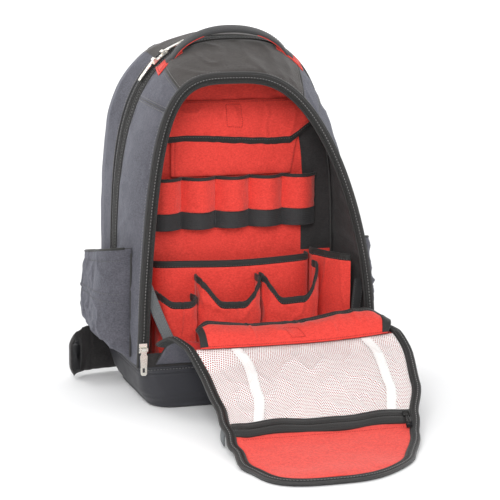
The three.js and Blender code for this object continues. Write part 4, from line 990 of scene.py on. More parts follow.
def upright(name, plan, low, high, thick, proud, mats, slot, nv=36, wave=None, replaces=()):
    """Upright cloth along a line in plan, pushed forward by wave(points, across, up)."""
    n = plan_normals(plan)
    u = np.linspace(0, 1, len(plan))
    lo, hi = np.broadcast_to(low, u.shape), np.broadcast_to(high, u.shape)
    v = np.linspace(0, 1, nv + 1)
    Z = lo[:, None] + (hi - lo)[:, None] * v[None]
    P = np.stack([np.repeat((plan[:, 0] - n[:, 0] * proud)[:, None], len(v), 1),
                  np.repeat((plan[:, 1] - n[:, 1] * proud)[:, None], len(v), 1), Z], -1)
    N = np.repeat(np.c_[n, np.zeros(len(n))][:, None], len(v), 1)
    extra = 0
    if wave is not None:
        push, extra = wave(P, u[:, None] + 0 * v[None], v[None] + 0 * u[:, None])
        P = P - N * push[..., None]
    sheet(name, P, thick + extra, mats, slot, N=N, replaces=replaces)
    return P, N


def pocket(name, plan, low, top, seed, push=2.2, floor=0.0, rows=46):
    """Red pocket wall and its bound top edge, which share their folds."""

    def folds(P, u):
        fade = edge_fade(u, 0, 1, 0.1)
        w = 0.55 * noise3(P * [1, 1, 0.5], 34, seed) + 0.35 * noise3(P, 15, seed + 1)
        w = w + 0.9 * creases(P * [1, 1, 0.4], 30, seed + 2, 0.28)
        return np.clip(push * w * fade, floor - 1.6, push * 1.2)

    top = np.asarray(top, float)
    upright(name + "_cloth", plan, low, top, POCKET_CLOTH, 0, M["red"], "red_fabric", rows,
            wave=lambda P, u, v: (folds(P, u) * smooth((P[..., 2] - low) / 50), 0), replaces=[name])

    def bound(P, u, v):
        base = P.copy()
        base[..., 2] = np.repeat(np.broadcast_to(top, (len(P),))[:, None], P.shape[1], 1)
        roll = 0.75 * rolled(v)
        return folds(base, u) + roll, 2 * roll - 0.7

    P, N = upright(name + "_binding_cloth", plan, top + GAP, top + GAP + BINDING_HEIGHT, BINDING, 0.1,
                   M["bind"], "trim_fabric", 10,
                   wave=bound, replaces=[name + "_binding"])
    dashes(name + "_binding_stitches", [(P[2:-2, 2], -N[2:-2, 2])], M["soft_thread"], "trim_fabric",
           *EDGE_STITCH)


# Cover over the document pocket
COVER = dict(left=-0.76, right=0.73, top=0.822, low=0.722, swell=0.14, corner=0.045)
COVER_LENGTH = (COVER["top"] - COVER["low"]) * BODY_HEIGHT


def cover_point(u, down):
    bulge = np.sin(math.pi * np.clip(0.1 + 0.62 * down, 0, 1)) - math.sin(0.1 * math.pi)
    right = COVER["corner"] * BODY_HEIGHT * np.clip((u - 0.86) / 0.14, 0, None) ** 1.3
    low = COVER["low"] * BODY_HEIGHT + right
    top = COVER["top"] * BODY_HEIGHT
    z = top + (low - top) * down + 3 * np.sin(2 * math.pi * u) * down
    x = (COVER["left"] + (COVER["right"] - COVER["left"]) * u) * HALF * (1 - 0.06 * (1 - down))
    return np.stack([x, ahead(0.005 + COVER["swell"] * bulge * (0.9 + 0.1 * np.sin(5 * u))), z], -1)


def cover_folds(P, u, down):
    w = (1.1 * noise3(P * [1, 1, 0.6], 40, 51) + 0.6 * noise3(P, 17, 52)
         + 1.6 * creases(P * [0.9, 1, 0.5], 34, 53, 0.3))
    return w * smooth(down / 0.3) * edge_fade(u, 0, 1, 0.03)


u, v = shares(131, 41)
P = cover_point(u, v)
N = grid_normals(P)
N = N * np.sign(-N[..., 1:2])
P = P + N * cover_folds(P, u, v)[..., None]
sheet("upper_cover_cloth", P, POCKET_CLOTH, M["red"], "red_fabric", N=-N, replaces=["upper_cover"])
COVER_P, COVER_N = P, N
u, v = shares(131, 11)
down = 1 + (2 * GAP + v * BINDING_HEIGHT) / COVER_LENGTH
P = cover_point(u, down)
N = grid_normals(P)
N = N * np.sign(-N[..., 1:2])
roll = 0.8 * rolled(v)
P = (P + N * (cover_folds(np.repeat(cover_point(u[:, :1], 1.0 + 0 * u[:, :1]), 11, 1), u, 1.0 + 0 * v)
              + roll)[..., None])
sheet("upper_cover_edge", P, BINDING - 0.8 + 2 * roll, M["bind"], "trim_fabric", N=-N,
      replaces=["upper_cover_binding"])
dashes("upper_cover_stitches", [(P[1:-1, 2], N[1:-1, 2])], M["soft_thread"], "trim_fabric", *EDGE_STITCH)


def blended(A, i, j):
    """Values of a grid at places between its points."""
    i0, j0 = np.clip(i.astype(int), 0, A.shape[0] - 2), np.clip(j.astype(int), 0, A.shape[1] - 2)
    fi, fj = i - i0, j - j0
    if A.ndim > 2:
        fi, fj = fi[..., None], fj[..., None]
    near = A[i0, j0] * (1 - fi) * (1 - fj) + A[i0 + 1, j0] * fi * (1 - fj)
    return near + A[i0, j0 + 1] * (1 - fi) * fj + A[i0 + 1, j0 + 1] * fi * fj


def grid_line(P, N, uvs, count=20):
    """Line over a grid through places given as shares, with its normals."""
    uvs = np.asarray(uvs, float)
    dense = np.vstack([uvs[k] + (uvs[k + 1] - uvs[k]) * np.linspace(0, 1, count, endpoint=False)[:, None]
                       for k in range(len(uvs) - 1)] + [uvs[-1:]])
    i, j = dense[:, 0] * (P.shape[0] - 1), dense[:, 1] * (P.shape[1] - 1)
    return [blended(A, i, j) for A in (P, N)]


def stitched_box(P, N, u0, u1, v0, v1):
    return grid_line(P, N, [(u0, v0), (u1, v0), (u1, v1), (u0, v1), (u0, v0)])


boxes = [stitched_box(COVER_P, COVER_N, 0.475, 0.57, 0.12, 0.72),
         grid_line(COVER_P, COVER_N, [(0.02, 0.05), (0.98, 0.05)])]
dashes("upper_cover_box", boxes, M["red_thread"], "red_fabric", *BOX_STITCH)

# Document pocket
u, v = shares(90, 26)
right = 0.545 + (0.6 - 0.545) * v
P = np.stack([(-0.53 + (right + 0.53) * u) * HALF, ahead(0.02 * np.sin(math.pi * u) * (0.3 + 0.7 * v)),
              (0.612 + (0.712 - 0.612) * v) * BODY_HEIGHT], -1)
P[..., 1] -= np.clip(0.8 * noise3(P, 30, 61) + 0.8 * creases(P, 28, 62, 0.3), 0, 2) * edge_fade(u, 0, 1, 0.08)
N = np.broadcast_to([0, -1.0, 0], P.shape)
sheet("document_cloth", P, POCKET_CLOTH, M["red"], "red_fabric", N=N, replaces=["document_pocket"])
dashes("document_stitches", [grid_line(P + N * POCKET_CLOTH, N, [(0.03, 0.99), (0.03, 0.05)])],
       M["red_thread"], "red_fabric", *RED_STITCH)

# Tubes with their bound edge and elastic band
DRIVER = dict(tubes=5, left=-0.745, right=0.77, top=0.603, low=0.515, band=0.466, swell=0.17)


def tube_plan(swell):
    k = np.linspace(0, DRIVER["tubes"], DRIVER["tubes"] * 36 + 1)
    x = (DRIVER["left"] + (DRIVER["right"] - DRIVER["left"]) * k / DRIVER["tubes"]) * HALF
    return np.c_[x, ahead(swell * np.abs(np.sin(math.pi * k)) ** 0.8) - POCKET_CLOTH - 1.2]


tubes_plan = tube_plan(DRIVER["swell"])
pocket_top = DRIVER["top"] * BODY_HEIGHT
wave_tube = lambda P, u, v: (0.9 * noise3(P, 16, 71) * (1 - v) + 0.5 * noise3(P, 9, 72), 0)
upright("driver_row_cloth", tubes_plan, DRIVER["low"] * BODY_HEIGHT, pocket_top, POCKET_CLOTH, 0, M["red"],
        "red_fabric", 22, wave=wave_tube, replaces=["driver_row"])


def tube_edge(P, u, v):
    roll = 0.7 * rolled(v)
    return 0.2 + roll, 2 * roll - 0.8


upright("driver_row_edge", tubes_plan, pocket_top + GAP, pocket_top + GAP + 4, BINDING, 0.6, M["bind"],
        "trim_fabric", 8, wave=tube_edge, replaces=["driver_row_binding"])


def band_folds(P, u, v):
    rib = 0.25 * np.abs(np.sin(v * math.pi * 9))
    pinch = 1.0 - 0.9 * np.abs(np.sin(math.pi * u * DRIVER["tubes"])) ** 0.3
    return rib - 0.5 * pinch + 0.35 * noise3(P, 14, 73), 0


upright("driver_band_cloth", tube_plan(DRIVER["swell"] * 0.8), DRIVER["band"] * BODY_HEIGHT,
        DRIVER["low"] * BODY_HEIGHT - GAP, WEBBING, 0, M["elastic"], "trim_fabric", 56,
        wave=band_folds, replaces=["driver_band"])
bars = []
for k in range(1, DRIVER["tubes"]):
    x = (DRIVER["left"] + (DRIVER["right"] - DRIVER["left"]) * k / DRIVER["tubes"]) * HALF
    for dx in (-1.5, 1.5):
        z = np.linspace(DRIVER["band"] * BODY_HEIGHT + 1, pocket_top + 2, 30)
        bars.append((np.c_[np.full(30, x + dx), np.full(30, ahead(0.0) - POCKET_CLOTH - 2.3), z], [0, -1, 0]))
dashes("driver_stitches", bars, M["black_thread"], "trim_fabric", 3.0, 2.2, 0.5, 0.2)

# Full-width pocket and the scooped ones in front of it
MID_FRONT = 0.33
mid = hat_plan(-0.735 * HALF, 0.71 * HALF, DIVIDER_FRONT - GAP, ahead(MID_FRONT), 150)
pocket("mid_row", mid, FLOOR_TOP + GAP,
       np.full(len(mid), 0.366 * BODY_HEIGHT) + 1.2 * np.sin(np.linspace(0, 9, len(mid))) - 1.2, 81,
       push=-1.6, floor=-3)
SCOOPED = {
    "left": (-0.73, -0.4, [[0, 0.29], [0.28, 0.268], [0.8, 0.266], [1, 0.275]]),
    "middle": (-0.375, 0.18, [[0, 0.33], [0.3, 0.262], [0.72, 0.258], [1, 0.322]]),
    "right": (0.205, 0.7, [[0, 0.325], [0.26, 0.262], [0.74, 0.266], [1, 0.352]]),
}
for k, (side, (left, right, scoop)) in enumerate(SCOOPED.items()):
    plan = hat_plan(left * HALF, right * HALF, ahead(MID_FRONT) - GAP, ahead(0.68))
    across = (plan[:, 0] - plan[0, 0]) / (plan[-1, 0] - plan[0, 0])
    s = np.array(scoop)
    top = np.interp(across, s[:, 0], s[:, 1])
    kernel = np.hanning(15) / np.hanning(15).sum()
    top = np.convolve(np.pad(top, 7, mode="edge"), kernel, "valid")
    pocket("tool_pocket_" + side, plan, FLOOR_TOP + GAP, top * BODY_HEIGHT, 90 + 7 * k, push=2.6)

for side, name in SIDES:
    root = -0.735 * HALF - 0.5 if side < 0 else 0.71 * HALF + 0.5
    wall = side_x(0.15, 0.15 * BODY_HEIGHT, side) - side * (CLOTH + 6.5)
    share = np.linspace(0, 1, 60)
    plan = np.c_[root + (wall - root) * share**1.15,
                 ahead(0.1 + 0.67 * share) - 0.1 * np.sin(math.pi * share) * FRONT_DEPTH]
    if side < 0:
        plan = plan[::-1]
    pocket("wall_pocket_" + name, even_plan(plan, 50), 0.15 * BODY_HEIGHT, np.full(51, 0.38 * BODY_HEIGHT),
           120 + side, push=1.4, rows=34)

# Cloth strip under the opening
z = np.linspace(FOOT, FOOT + LIP_HEIGHT, 13)
rows = []
for q in z:
    left, right = side_x(0, q, -1) + CLOTH + GAP, side_x(0, q, 1) - CLOTH - GAP
    x = np.linspace(left, right, 121)
    rows.append(np.c_[x, np.full(121, bag_y(0, q)), np.full(121, q)])
P = np.array(rows)
P[..., 1] += np.clip(0.5 + 0.6 * noise3(P, 25, 131), 0, 1.4)
sheet("front_lip_cloth", P, CLOTH - 0.4, [M["dark"], M["red_dark"], M["pipe"]], "black_fabric", N=[0, 1.0, 0],
      replaces=["front_lip"])

# Boot: moulded tub with a bead below its rim


def boot_ring(z, inset, count=12):
    table = np.array([[0.0, 0.852, 0.9, 0.87, 1.0], [0.36, 0.94, 0.962, 0.945, 0.9],
                      [1.0, 1.0, 0.983, 0.995, 0.45]])
    up = z / BOOT_HEIGHT
    _, s, f, r, corner = [np.interp(up, table[:, 0], table[:, k]) for k in range(5)]
    side = s * BOOT_WIDTH / 2 - inset
    front = -f * BODY_FRONT + inset
    rear = r * (BODY_DEPTH - BODY_FRONT) - inset
    rad = corner * BOOT_CORNER - inset
    pts = []
    for cx, cy, turn in ((side - rad, rear - rad, 0), (-side + rad, rear - rad, 1),
                         (-side + rad, front + rad, 2), (side - rad, front + rad, 3)):
        a = (turn + np.arange(count + 1) / count) * math.pi / 2
        pts.append(np.c_[cx + rad * np.cos(a), cy + rad * np.sin(a)])
    ring = np.vstack(pts)
    loop = np.vstack([ring, ring[:1]])
    s = run_length(loop)
    q = np.linspace(0, s[-1], 361)[:-1]
    return np.c_[np.interp(q, s, loop[:, 0]), np.interp(q, s, loop[:, 1])]


def boot_bead(z):
    bead = 1.3 * bell(z, 54, 1.6) - 0.7 * bell(z, 50, 1.2)
    low = 0.8 * bell(z, 14, 2.0)
    return -(bead + low) + 0.6


profile = []
for a in np.linspace(0, math.pi / 2, 8):
    profile.append((3.5 * (1 - math.sin(a)) * 1.2 + 0.2, 3.5 * (1 - math.cos(a))))
for z in np.r_[np.linspace(4.5, 46, 26), np.linspace(47, 59, 25)]:
    profile.append((boot_bead(z), z))
for a in np.linspace(0.15, math.pi - 0.15, 8):
    profile.append((BOOT_WALL / 2 - BOOT_WALL / 2 * math.cos(a), 60.4 + 1.6 * math.sin(a)))
for z in np.linspace(59, 6, 14):
    profile.append((BOOT_WALL, z))
profile.append((BOOT_WALL + 1.5, BOOT_FLOOR + 0.4))
profile.append((BOOT_WALL + 5, BOOT_FLOOR))
verts, faces, uvs = [], [], []
run = 0.0
for k, (inset, z) in enumerate(profile):
    ring = boot_ring(z, inset)
    p = np.c_[ring, np.full(360, z)]
    if 4.5 < z < 59 and inset < 2:
        n = p[:, :2] / np.linalg.norm(p[:, :2], axis=1)[:, None]
        p[:, :2] -= n * np.clip(0.8 + 0.9 * noise3(p, 60, 141) + 0.25 * noise3(p, 22, 142), 0, 2)[:, None]
    verts.append(p)
    run += 0 if k == 0 else float(np.linalg.norm(verts[-1][0] - verts[-2][0]))
    around = run_length(p)
    uvs.append(np.c_[around, np.full(360, run)])
count = len(profile)
V = np.vstack(verts)
for r in range(count - 1):
    for k in range(360):
        a, b = r * 360 + k, r * 360 + (k + 1) % 360
        faces.append([a, b, b + 360, a + 360])
faces.append(list(range(359, -1, -1)))
faces.append([(count - 1) * 360 + k for k in range(360)])
new_object("boot_tub", V, faces, np.vstack(uvs), [M["boot"]], "boot_plastic", replaces=["base_boot"])
seat = boot_ring(57.5, -0.1)
loop = np.vstack([seat, seat[:1]])
out = np.c_[loop / np.linalg.norm(loop, axis=1)[:, None], np.zeros(361)]
dashes("boot_stitches", [(np.c_[loop, np.full(361, 58.0)], out)], M["thread"], "boot_plastic", 4.4, 3.0, 0.55,
       -0.5)


# Open flap
FLAP_SEAM = 1.2
FLAP_INSET = RIM_WIDTH + FLAP_SEAM
BAND_END = ZIP_POCKET_START + ZIP_POCKET_BAND
FLAP_TIP = float(flap_outline(np.array([0.5]), FLAP_INSET)[1][0]) * 0.997
MESH_LOW = FLAP_CLOTH + GAP


def flap_grid(a0, a1, nu, nv, ease=None):
    """Across and along values of a patch of the flap."""
    v = np.linspace(0, 1, nv + 1)
    along = a0 + (a1 - a0) * (np.sin(math.pi / 2 * v) if ease else v)
    u = np.linspace(-1, 1, nu + 1)
    half = flap_half(along, FLAP_INSET)
    return (half[None] * u[:, None], along[None] + 0 * u[:, None], (u[:, None] + 1) / 2 + 0 * v[None],
            v[None] + 0 * u[:, None])


def flap_sheet(name, A, L, low, high, mats, slot, replaces=(), face_mat=None):
    P, Q = flap_point(A, L, high), flap_point(A, L, low)
    D = Q - P
    th = np.linalg.norm(D, axis=-1)
    sheet(name, P, th, mats, slot, N=D / th[..., None], replaces=replaces, face_mat=face_mat)
    return P, -D / th[..., None]


def crown(s):
    return np.sin(math.pi * np.clip(s, 0, 1))


A1, L1 = flap_grid(0, BAND_END, 64, 72)[:2]
A2, L2 = flap_grid(BAND_END, FLAP_TIP, 64, 52, True)[:2]
A, L = np.hstack([A1, A2[:, 1:]]), np.hstack([L1, L2[:, 1:]])
flap_sheet("flap_cloth", A, L, np.zeros_like(A), FLAP_CLOTH + 0 * A, [M["red_dark"], M["side"], M["pipe"]],
           "black_fabric", ["flap_panel"])

# Zip edge of the flap: tape, coil, stitches and the piping at its outer edge
ta = float(np.interp(FLAP_RIM_START, flap_outline(HALF_ARCH, 0)[1], HALF_ARCH))
t = np.linspace(ta, 1 - ta, 361)


def rim_row(v, lift):
    inset = v * (FLAP_INSET - FLAP_SEAM)
    a, l = flap_outline(t, inset)
    return flap_point(a, l, lift)


rows, lows = [], []
base = flap_point(*flap_outline(t, 6), 0)
wavy = 0.3 * noise3(base, 80, 151) + 0.15 * noise3(base, 30, 152)
for v in np.linspace(0, 1, 17):
    top = 2.2 + 4.4 * min(1.0, 1.9 * v) ** 0.6 - 1.6 * bell(v, 0.66, 0.13) - 0.9 * max(0, v - 0.85) / 0.15
    rows.append(rim_row(v, top + wavy * (0.3 + v)))
    lows.append(rim_row(v, 0.0 if v > 0.05 else 0.4))
P, Q = np.array(rows), np.array(lows)
D = Q - P
th = np.linalg.norm(D, axis=-1)
sheet("flap_rim_cloth", P, th, M["track"], "trim_fabric", N=D / th[..., None], replaces=["flap_rim"])
RIM_UP = -D / th[..., None]
edge_a, edge_l = flap_outline(t, 0.4)
tubes("flap_piping", [flap_point(edge_a, edge_l, 3.0)], 2.0, M["pipe"], "trim_fabric")
coil_a, coil_l = flap_outline(t, 0.66 * RIM_WIDTH)
coil = flap_point(coil_a, coil_l, 5.2 + wavy * 0.9)
boxes_along("flap_coil", coil, RIM_UP[11], M["teeth"], "trim_fabric", 1.7, (1.0, 3.4, 1.1), skew=0.2)
sa, sl = flap_outline(t, 0.33 * RIM_WIDTH)
dashes("flap_rim_stitches", [(flap_point(sa, sl, 5.9 + wavy * 0.6), RIM_UP[5])], M["thread"], "trim_fabric")

# Net pocket with its tapes
A, L, u, v = flap_grid(MESH_START, ZIP_POCKET_START, 110, 60)
base = flap_point(A, L, 0)
rise = MESH_SWELL * (crown(u) * crown(np.clip(v, 0.02, 0.98))) ** 0.6
fold = (2.4 * noise3(base * [1, 0.5, 1], 40, 161) + 0.9 * noise3(base * [1, 0.6, 1], 16, 162)
        + 2.0 * creases(base * [1, 0.5, 1], 40, 163, 0.22) - 0.4)
NET_LIFT = (MESH_LOW + rise + 0.6 + np.clip(fold, -1.4, 2.8) * edge_fade(u, 0, 1, 0.06)
            * edge_fade(v, 0, 1, 0.08))
flap_sheet("net_cloth", A, L, NET_LIFT, NET_LIFT + 0.45, M["net"], "net_fabric", ["mesh_pocket"])


def net_lift(across, along):
    j = (along - MESH_START) / (ZIP_POCKET_START - MESH_START) * 60
    i = (across / flap_half(along, FLAP_INSET) + 1) / 2 * 110
    return blended(NET_LIFT, i, j)


for name, centre in (("left", -0.58), ("right", 0.67)):
    along = np.linspace(MESH_START + 2, ZIP_POCKET_START - 2, 70)[:, None] + np.zeros((1, 9))
    w = np.linspace(-0.5, 0.5, 9)[None]
    across = centre * HALF + w * 15.0 + 0 * along
    lift = net_lift(across, along) + 0.9
    P, N = flap_sheet("net_tape_" + name, across, along, lift, lift + 0.9, M["white"], "white_tape",
                      ["mesh_strap_" + name])
    lines = [(P[:, 1], N[:, 1]), (P[:, 7], N[:, 7])]
    dashes("net_tape_stitches_" + name, lines, M["white_thread"], "white_tape", 3.2, 2.3, 0.35, 0.05)

# Zip of the tip pocket, wavy along its length
A, L, u, v = flap_grid(ZIP_POCKET_START, BAND_END, 150, 14)
wave = 0.8 * np.sin(u * 21 + 0.8) + 2.8 * np.sin(u * 11.5 + 1.4)
L = ZIP_POCKET_START + (v - 0.5) * 27.0 + ZIP_POCKET_BAND / 2 + wave * edge_fade(u, 0, 1, 0.08)
up = 1.2 + 0.9 * np.sin(u * 21 + 2.0) + 0.6 * np.sin(u * 13)
lips = 1.1 * bell(v, 0.3, 0.12) + 1.1 * bell(v, 0.7, 0.12)
top = MESH_LOW + 3.6 + up * edge_fade(u, 0, 1, 0.06) + lips
P, N = flap_sheet("tip_zip_cloth", A, L, MESH_LOW + 0 * A, top, M["track"], "trim_fabric",
                  ["zip_pocket_band"])
boxes_along("tip_zip_coil", P[3:-3, 7], N[3:-3, 7], M["teeth"], "trim_fabric", 1.6, (0.9, 3.2, 1.1), skew=0.2,
            lift=-0.1)
dashes("tip_zip_stitches", [(P[3:-3, 1], N[3:-3, 1]), (P[3:-3, 13], N[3:-3, 13])], M["black_thread"],
       "trim_fabric", 3.4, 2.3, 0.45)

# Red tip of the flap
A, L, u, v = flap_grid(BAND_END, FLAP_TIP, 100, 60, True)
base = flap_point(A, L, 0)
fold = 0.9 * noise3(base, 60, 171) + 0.3 * noise3(base, 24, 172)
lift = (MESH_LOW + 3.0 * (crown(u) * crown(v)) ** 0.8 + POCKET_CLOTH
        + fold * edge_fade(u, 0, 1, 0.06) * smooth(v / 0.06) * smooth((1 - v) / 0.1))
P, N = flap_sheet("tip_pocket_cloth", A, L, MESH_LOW - 0.2 + 0 * A, lift, M["red"], "red_fabric",
                  ["zip_pocket"])
dashes("tip_pocket_stitches", [(P[3:-3, 3], N[3:-3, 3])], M["red_thread"], "red_fabric", *RED_STITCH)

# Cover of the net pocket, folded back
NET_COVER = np.array([
    [0.0, -0.93, -0.53, 0.055, 1.3], [0.08, -0.8, -0.44, 0.04, 1.42], [0.34, -0.32, -0.1, 0.03, 1.32],
    [0.6, 0.2, 0.36, 0.03, 1.32],
    [0.82, 0.6, 0.8, 0.035, 1.43], [0.92, 0.8, 1.02, 0.045, 1.46], [1.0, 0.9, 1.17, 0.09, 1.3],
])


def cover_column(u, col):
    dense = np.linspace(0, 1, 401)
    value = np.interp(dense, NET_COVER[:, 0], NET_COVER[:, col])
    k = np.hanning(41) / np.hanning(41).sum()
    first, last = value[:1] - (value[1:21] - value[:1])[::-1], value[-1:] + (value[-1:] - value[-21:-1])[::-1]
    return np.interp(u, dense, np.convolve(np.r_[first, value, last], k, "valid"))


def net_cover_point(u, v):
    u = np.asarray(u, float)
    foot = flap_point(cover_column(u, 1) * HALF * 0.98, MESH_START + 3 + 0 * u, MESH_LOW + 1.5 + 5 + 0 * u)
    top = np.stack([cover_column(u, 2) * HALF, -BODY_FRONT - 6 - cover_column(u, 3) * FLAP_REACH,
                    cover_column(u, 4) * FLAP_RISE], -1)
    swell = 7 * np.sin(math.pi * np.clip(v, 0, 1))
    p = foot + (top - foot) * v[..., None]
    p[..., 1] -= 0.7 * swell
    p[..., 2] += 0.7 * swell
    return p


def net_cover_folds(P, u):
    w = (1.5 * noise3(P * [1, 0.6, 0.6], 42, 181) + 0.7 * noise3(P, 18, 182)
         + 1.8 * (creases(P * [1, 0.5, 0.5], 36, 183, 0.3) - 0.3))
    return w * edge_fade(u, 0, 1, 0.03)


u, v = shares(151, 37, 0, 0.86)
P = net_cover_point(u, v)
N = facing(P, 1, -1)
P = P + N * (net_cover_folds(P, u) * smooth(v / 0.25))[..., None]
sheet("net_cover_cloth", P, POCKET_CLOTH, M["red"], "red_fabric", N=-N, replaces=["mesh_cover"])
NC_P, NC_N = P, N
u, v = shares(151, 11, 0.885, 1.04)
P = net_cover_point(u, v)
N = facing(P, 1, -1)
s = (v - 0.885) / 0.155
roll = 0.8 * rolled(s)
edge_base = np.repeat(net_cover_point(u[:, :1], 0.86 + 0 * u[:, :1]), 11, 1)
P = P + N * (net_cover_folds(edge_base, u) + roll - 0.2)[..., None]
sheet("net_cover_edge", P, BINDING - 0.9 + 2 * roll, M["bind"], "trim_fabric", N=-N,
      replaces=["mesh_cover_binding"])
dashes("net_cover_stitches", [(P[1:-1, 2], N[1:-1, 2])], M["soft_thread"], "trim_fabric", *EDGE_STITCH)
for name, cols in (("left", slice(0, 7)), ("right", slice(-7, None))):
    side_P, side_N = NC_P[cols, 2:], NC_N[cols, 2:]
    sheet("net_cover_side_" + name, side_P + side_N * 0.9, POCKET_CLOTH + 1.8, M["bind"], "trim_fabric",
          N=-side_N)
boxes = [stitched_box(NC_P, NC_N, 0.49, 0.56, 0.22, 0.7), grid_line(NC_P, NC_N, [(0.02, 0.05), (0.98, 0.05)])]
dashes("net_cover_box", boxes, M["red_thread"], "red_fabric", *BOX_STITCH)

# Slider and cord loop of the tip pocket
half = float(flap_half(np.array([ZIP_POCKET_START]), FLAP_INSET)[0])
pull_a, pull_l = half - 9.0, ZIP_POCKET_START + ZIP_POCKET_BAND / 2
lift = MESH_LOW + 3 + POCKET_CLOTH + GAP
k = np.linspace(0, 2 * math.pi, 48)
loop_a = pull_a + 2.6 * np.sin(k) * (0.55 + 0.45 * np.sin(k / 2) ** 2)
loop_l = pull_l + 13 - 12.5 * np.cos(k)
cord = flap_point(loop_a, loop_l, lift + 1.6 + 0.5 * np.cos(3 * k))
tubes("tip_pull_cord", [cord[:-1]], 1.15, M["bind"], "trim_fabric", closed=True, replaces=["zip_pocket_pull"])


def rounded_block(name, centre, axes, size, mat, slot, bevel):
    """Small moulded block with rounded edges."""
    bm = bmesh.new()
    bmesh.ops.create_cube(bm, size=1.0)
    for vert in bm.verts:
        q = np.array(vert.co) * size
        vert.co = Vector((np.asarray(centre) + axes[0] * q[0] + axes[1] * q[1] + axes[2] * q[2]) * MM)
    bmesh.ops.bevel(bm, geom=list(bm.edges), offset=bevel * MM, segments=3, profile=0.6, affect="EDGES")
    mesh = bpy.data.meshes.new(name)
    bm.to_mesh(mesh)
    bm.free()
    mesh.materials.append(mat)
    mesh.polygons.foreach_set("use_smooth", np.ones(len(mesh.polygons), bool))
    return add_piece(name, mesh, slot)


def flap_axes(a, l, lift):
    p = flap_point(a, l, lift)
    x = flap_point(a + 1, l, lift) - p
    y = flap_point(a, l + 1, lift) - p
    x, y = unit(x), unit(y)
    return p, (x, y, unit(np.cross(x, y)))


place, axes = flap_axes(pull_a, pull_l, lift + 0.6)
rounded_block("tip_slider", place, axes, (7.5, 8.5, 3.0), M["teeth"], "trim_fabric", 0.9)
place, axes = flap_axes(pull_a, pull_l + 25, lift + 1.6)
rounded_block("tip_pull_end", place, axes, (6.0, 7.5, 2.8), M["rubber"], "trim_fabric", 1.1)

# Webbing tab under the flap's edge
along = 0.52 * FLAP_LENGTH
w = np.linspace(-0.5, 0.5, 9)
s = np.linspace(0, 1, 12)
rows = []
for q in w:
    a = along + q * 16.0
    top = flap_point(-float(flap_half(np.array([a]), 0)[0]) + 3, a, -1.2)
    zl = max(0.6, top[2] - 17.0)
    rows.append(np.c_[top[0] - 3 * s - 1.0 * np.sin(math.pi * s), top[1] - 4 * s, top[2] + (zl - top[2]) * s])
sheet("hang_tab_cloth", np.array(rows), WEBBING, M["grey"], "grey_webbing", N=[1.0, 0, 0],
      replaces=["hang_tab"])


# Webbing that holds the flap


def strap_grid(points, across, width, count=50, columns=9):
    line = catmull_centripetal(np.array(points, float))[0]
    line = resample(line, run_length(line)[-1] / count)
    w = np.linspace(-0.5, 0.5, columns)
    return line[:, None] + np.asarray(across)[None, None] * (w * width)[None, :, None]


for side, name in SIDES:
    top_z = (0.35 if side < 0 else 0.33) * BODY_HEIGHT
    wall = side_x(0.05, top_z, side) - side * (CLOTH + GAP + 7.0)
    top = np.array([wall, bag_y(0.06, top_z), top_z])
    low_z = FOOT + LIP_HEIGHT + 2.1
    low = np.array([(-0.66 if side < 0 else 0.95) * HALF, bag_y(0, low_z) + CLOTH + 2 * GAP, low_z])
    mid_p = (top + low) / 2 + [0, 3, -2]
    line = unit(low - top)
    across = np.array([-line[2], 0, line[0]]) * side
    P = strap_grid([top, mid_p, low], across, 14.0)
    N = facing(P, 1)
    curl = 0.5 * noise3(P, 30, 190 + side)
    P = P + N * curl[..., None]
    mat, slot = (M["grey"], "grey_webbing") if side < 0 else (M["web"], "trim_fabric")
    sheet("stay_" + name, P, WEBBING - 0.3, mat, slot, N=N, replaces=["stay_strap_" + name])
    thread = M["thread"] if side < 0 else M["soft_thread"]
    sewn = [(P[2:-2, 1], -N[2:-2, 1]), (P[2:-2, 7], -N[2:-2, 7])]
    dashes("stay_stitches_" + name, sewn, thread, slot, 3.4, 2.3, 0.35, 0.1)


# Carry handle and its folded anchors
HANDLE_WIDTH, HANDLE_BOW, HANDLE_SPAN = 24.0, 17.0, 178.0
HANDLE_AT = ZIP_AT - (2 + HANDLE_WIDTH / 2) / BODY_DEPTH
ARCH_LENGTH = arch_line(HANDLE_AT)[1][-1]
span = {side: arch_across(HANDLE_AT, side * HANDLE_SPAN / 2) for side in (-1, 1)}


def skin_points(at, t, lift):
    """Points above the bag's skin for grids of shares of the depth and of the arch."""
    shape = np.broadcast(at, t, lift).shape
    at, t, lift = (np.broadcast_to(a, shape).ravel() for a in (at, t, lift))
    out = np.zeros((len(at), 3))
    for value in np.unique(np.round(at, 6)):
        pick = np.isclose(at, value, atol=1e-6)
        out[pick] = bag_row(float(value), t[pick], -lift[pick] - swell_at(float(value)))[0]
    return out.reshape(*shape, 3)


u, v = shares(121, 13)
t = span[-1] + (span[1] - span[-1]) * u
bow = HANDLE_BOW * 1.04 * (np.clip(np.sin(math.pi * np.clip((u - 0.06) / 0.88, 0, 1)), 0, 1)) ** 0.8
k = np.hanning(9) / np.hanning(9).sum()
bow = np.array([np.convolve(np.pad(bow[:, j], 4, mode="edge"), k, "valid") for j in range(bow.shape[1])]).T
at = HANDLE_AT + (v - 0.5) * HANDLE_WIDTH / BODY_DEPTH
P = skin_points(at, t, 2 * GAP + 1.6 + bow)
N = facing(P, 2)
arch_over = 1.3 * (1 - (2 * v - 1) ** 2)
P = P + N * arch_over[..., None]
sheet("handle_cloth", P, BINDING, M["handle"], "trim_fabric", N=-N, replaces=["top_handle"])
edges = [P[:, k] - N[:, k] * 2.2 for k in (0, -1)]
tubes("handle_edges_red", [e[a:b] for e in edges for a, b in ((1, 38), (84, 120))], 1.0, M["red"],
      "red_fabric", sides=8)
tubes("handle_edges", [e[37:85] for e in edges], 1.0, M["pipe"], "trim_fabric", sides=8)
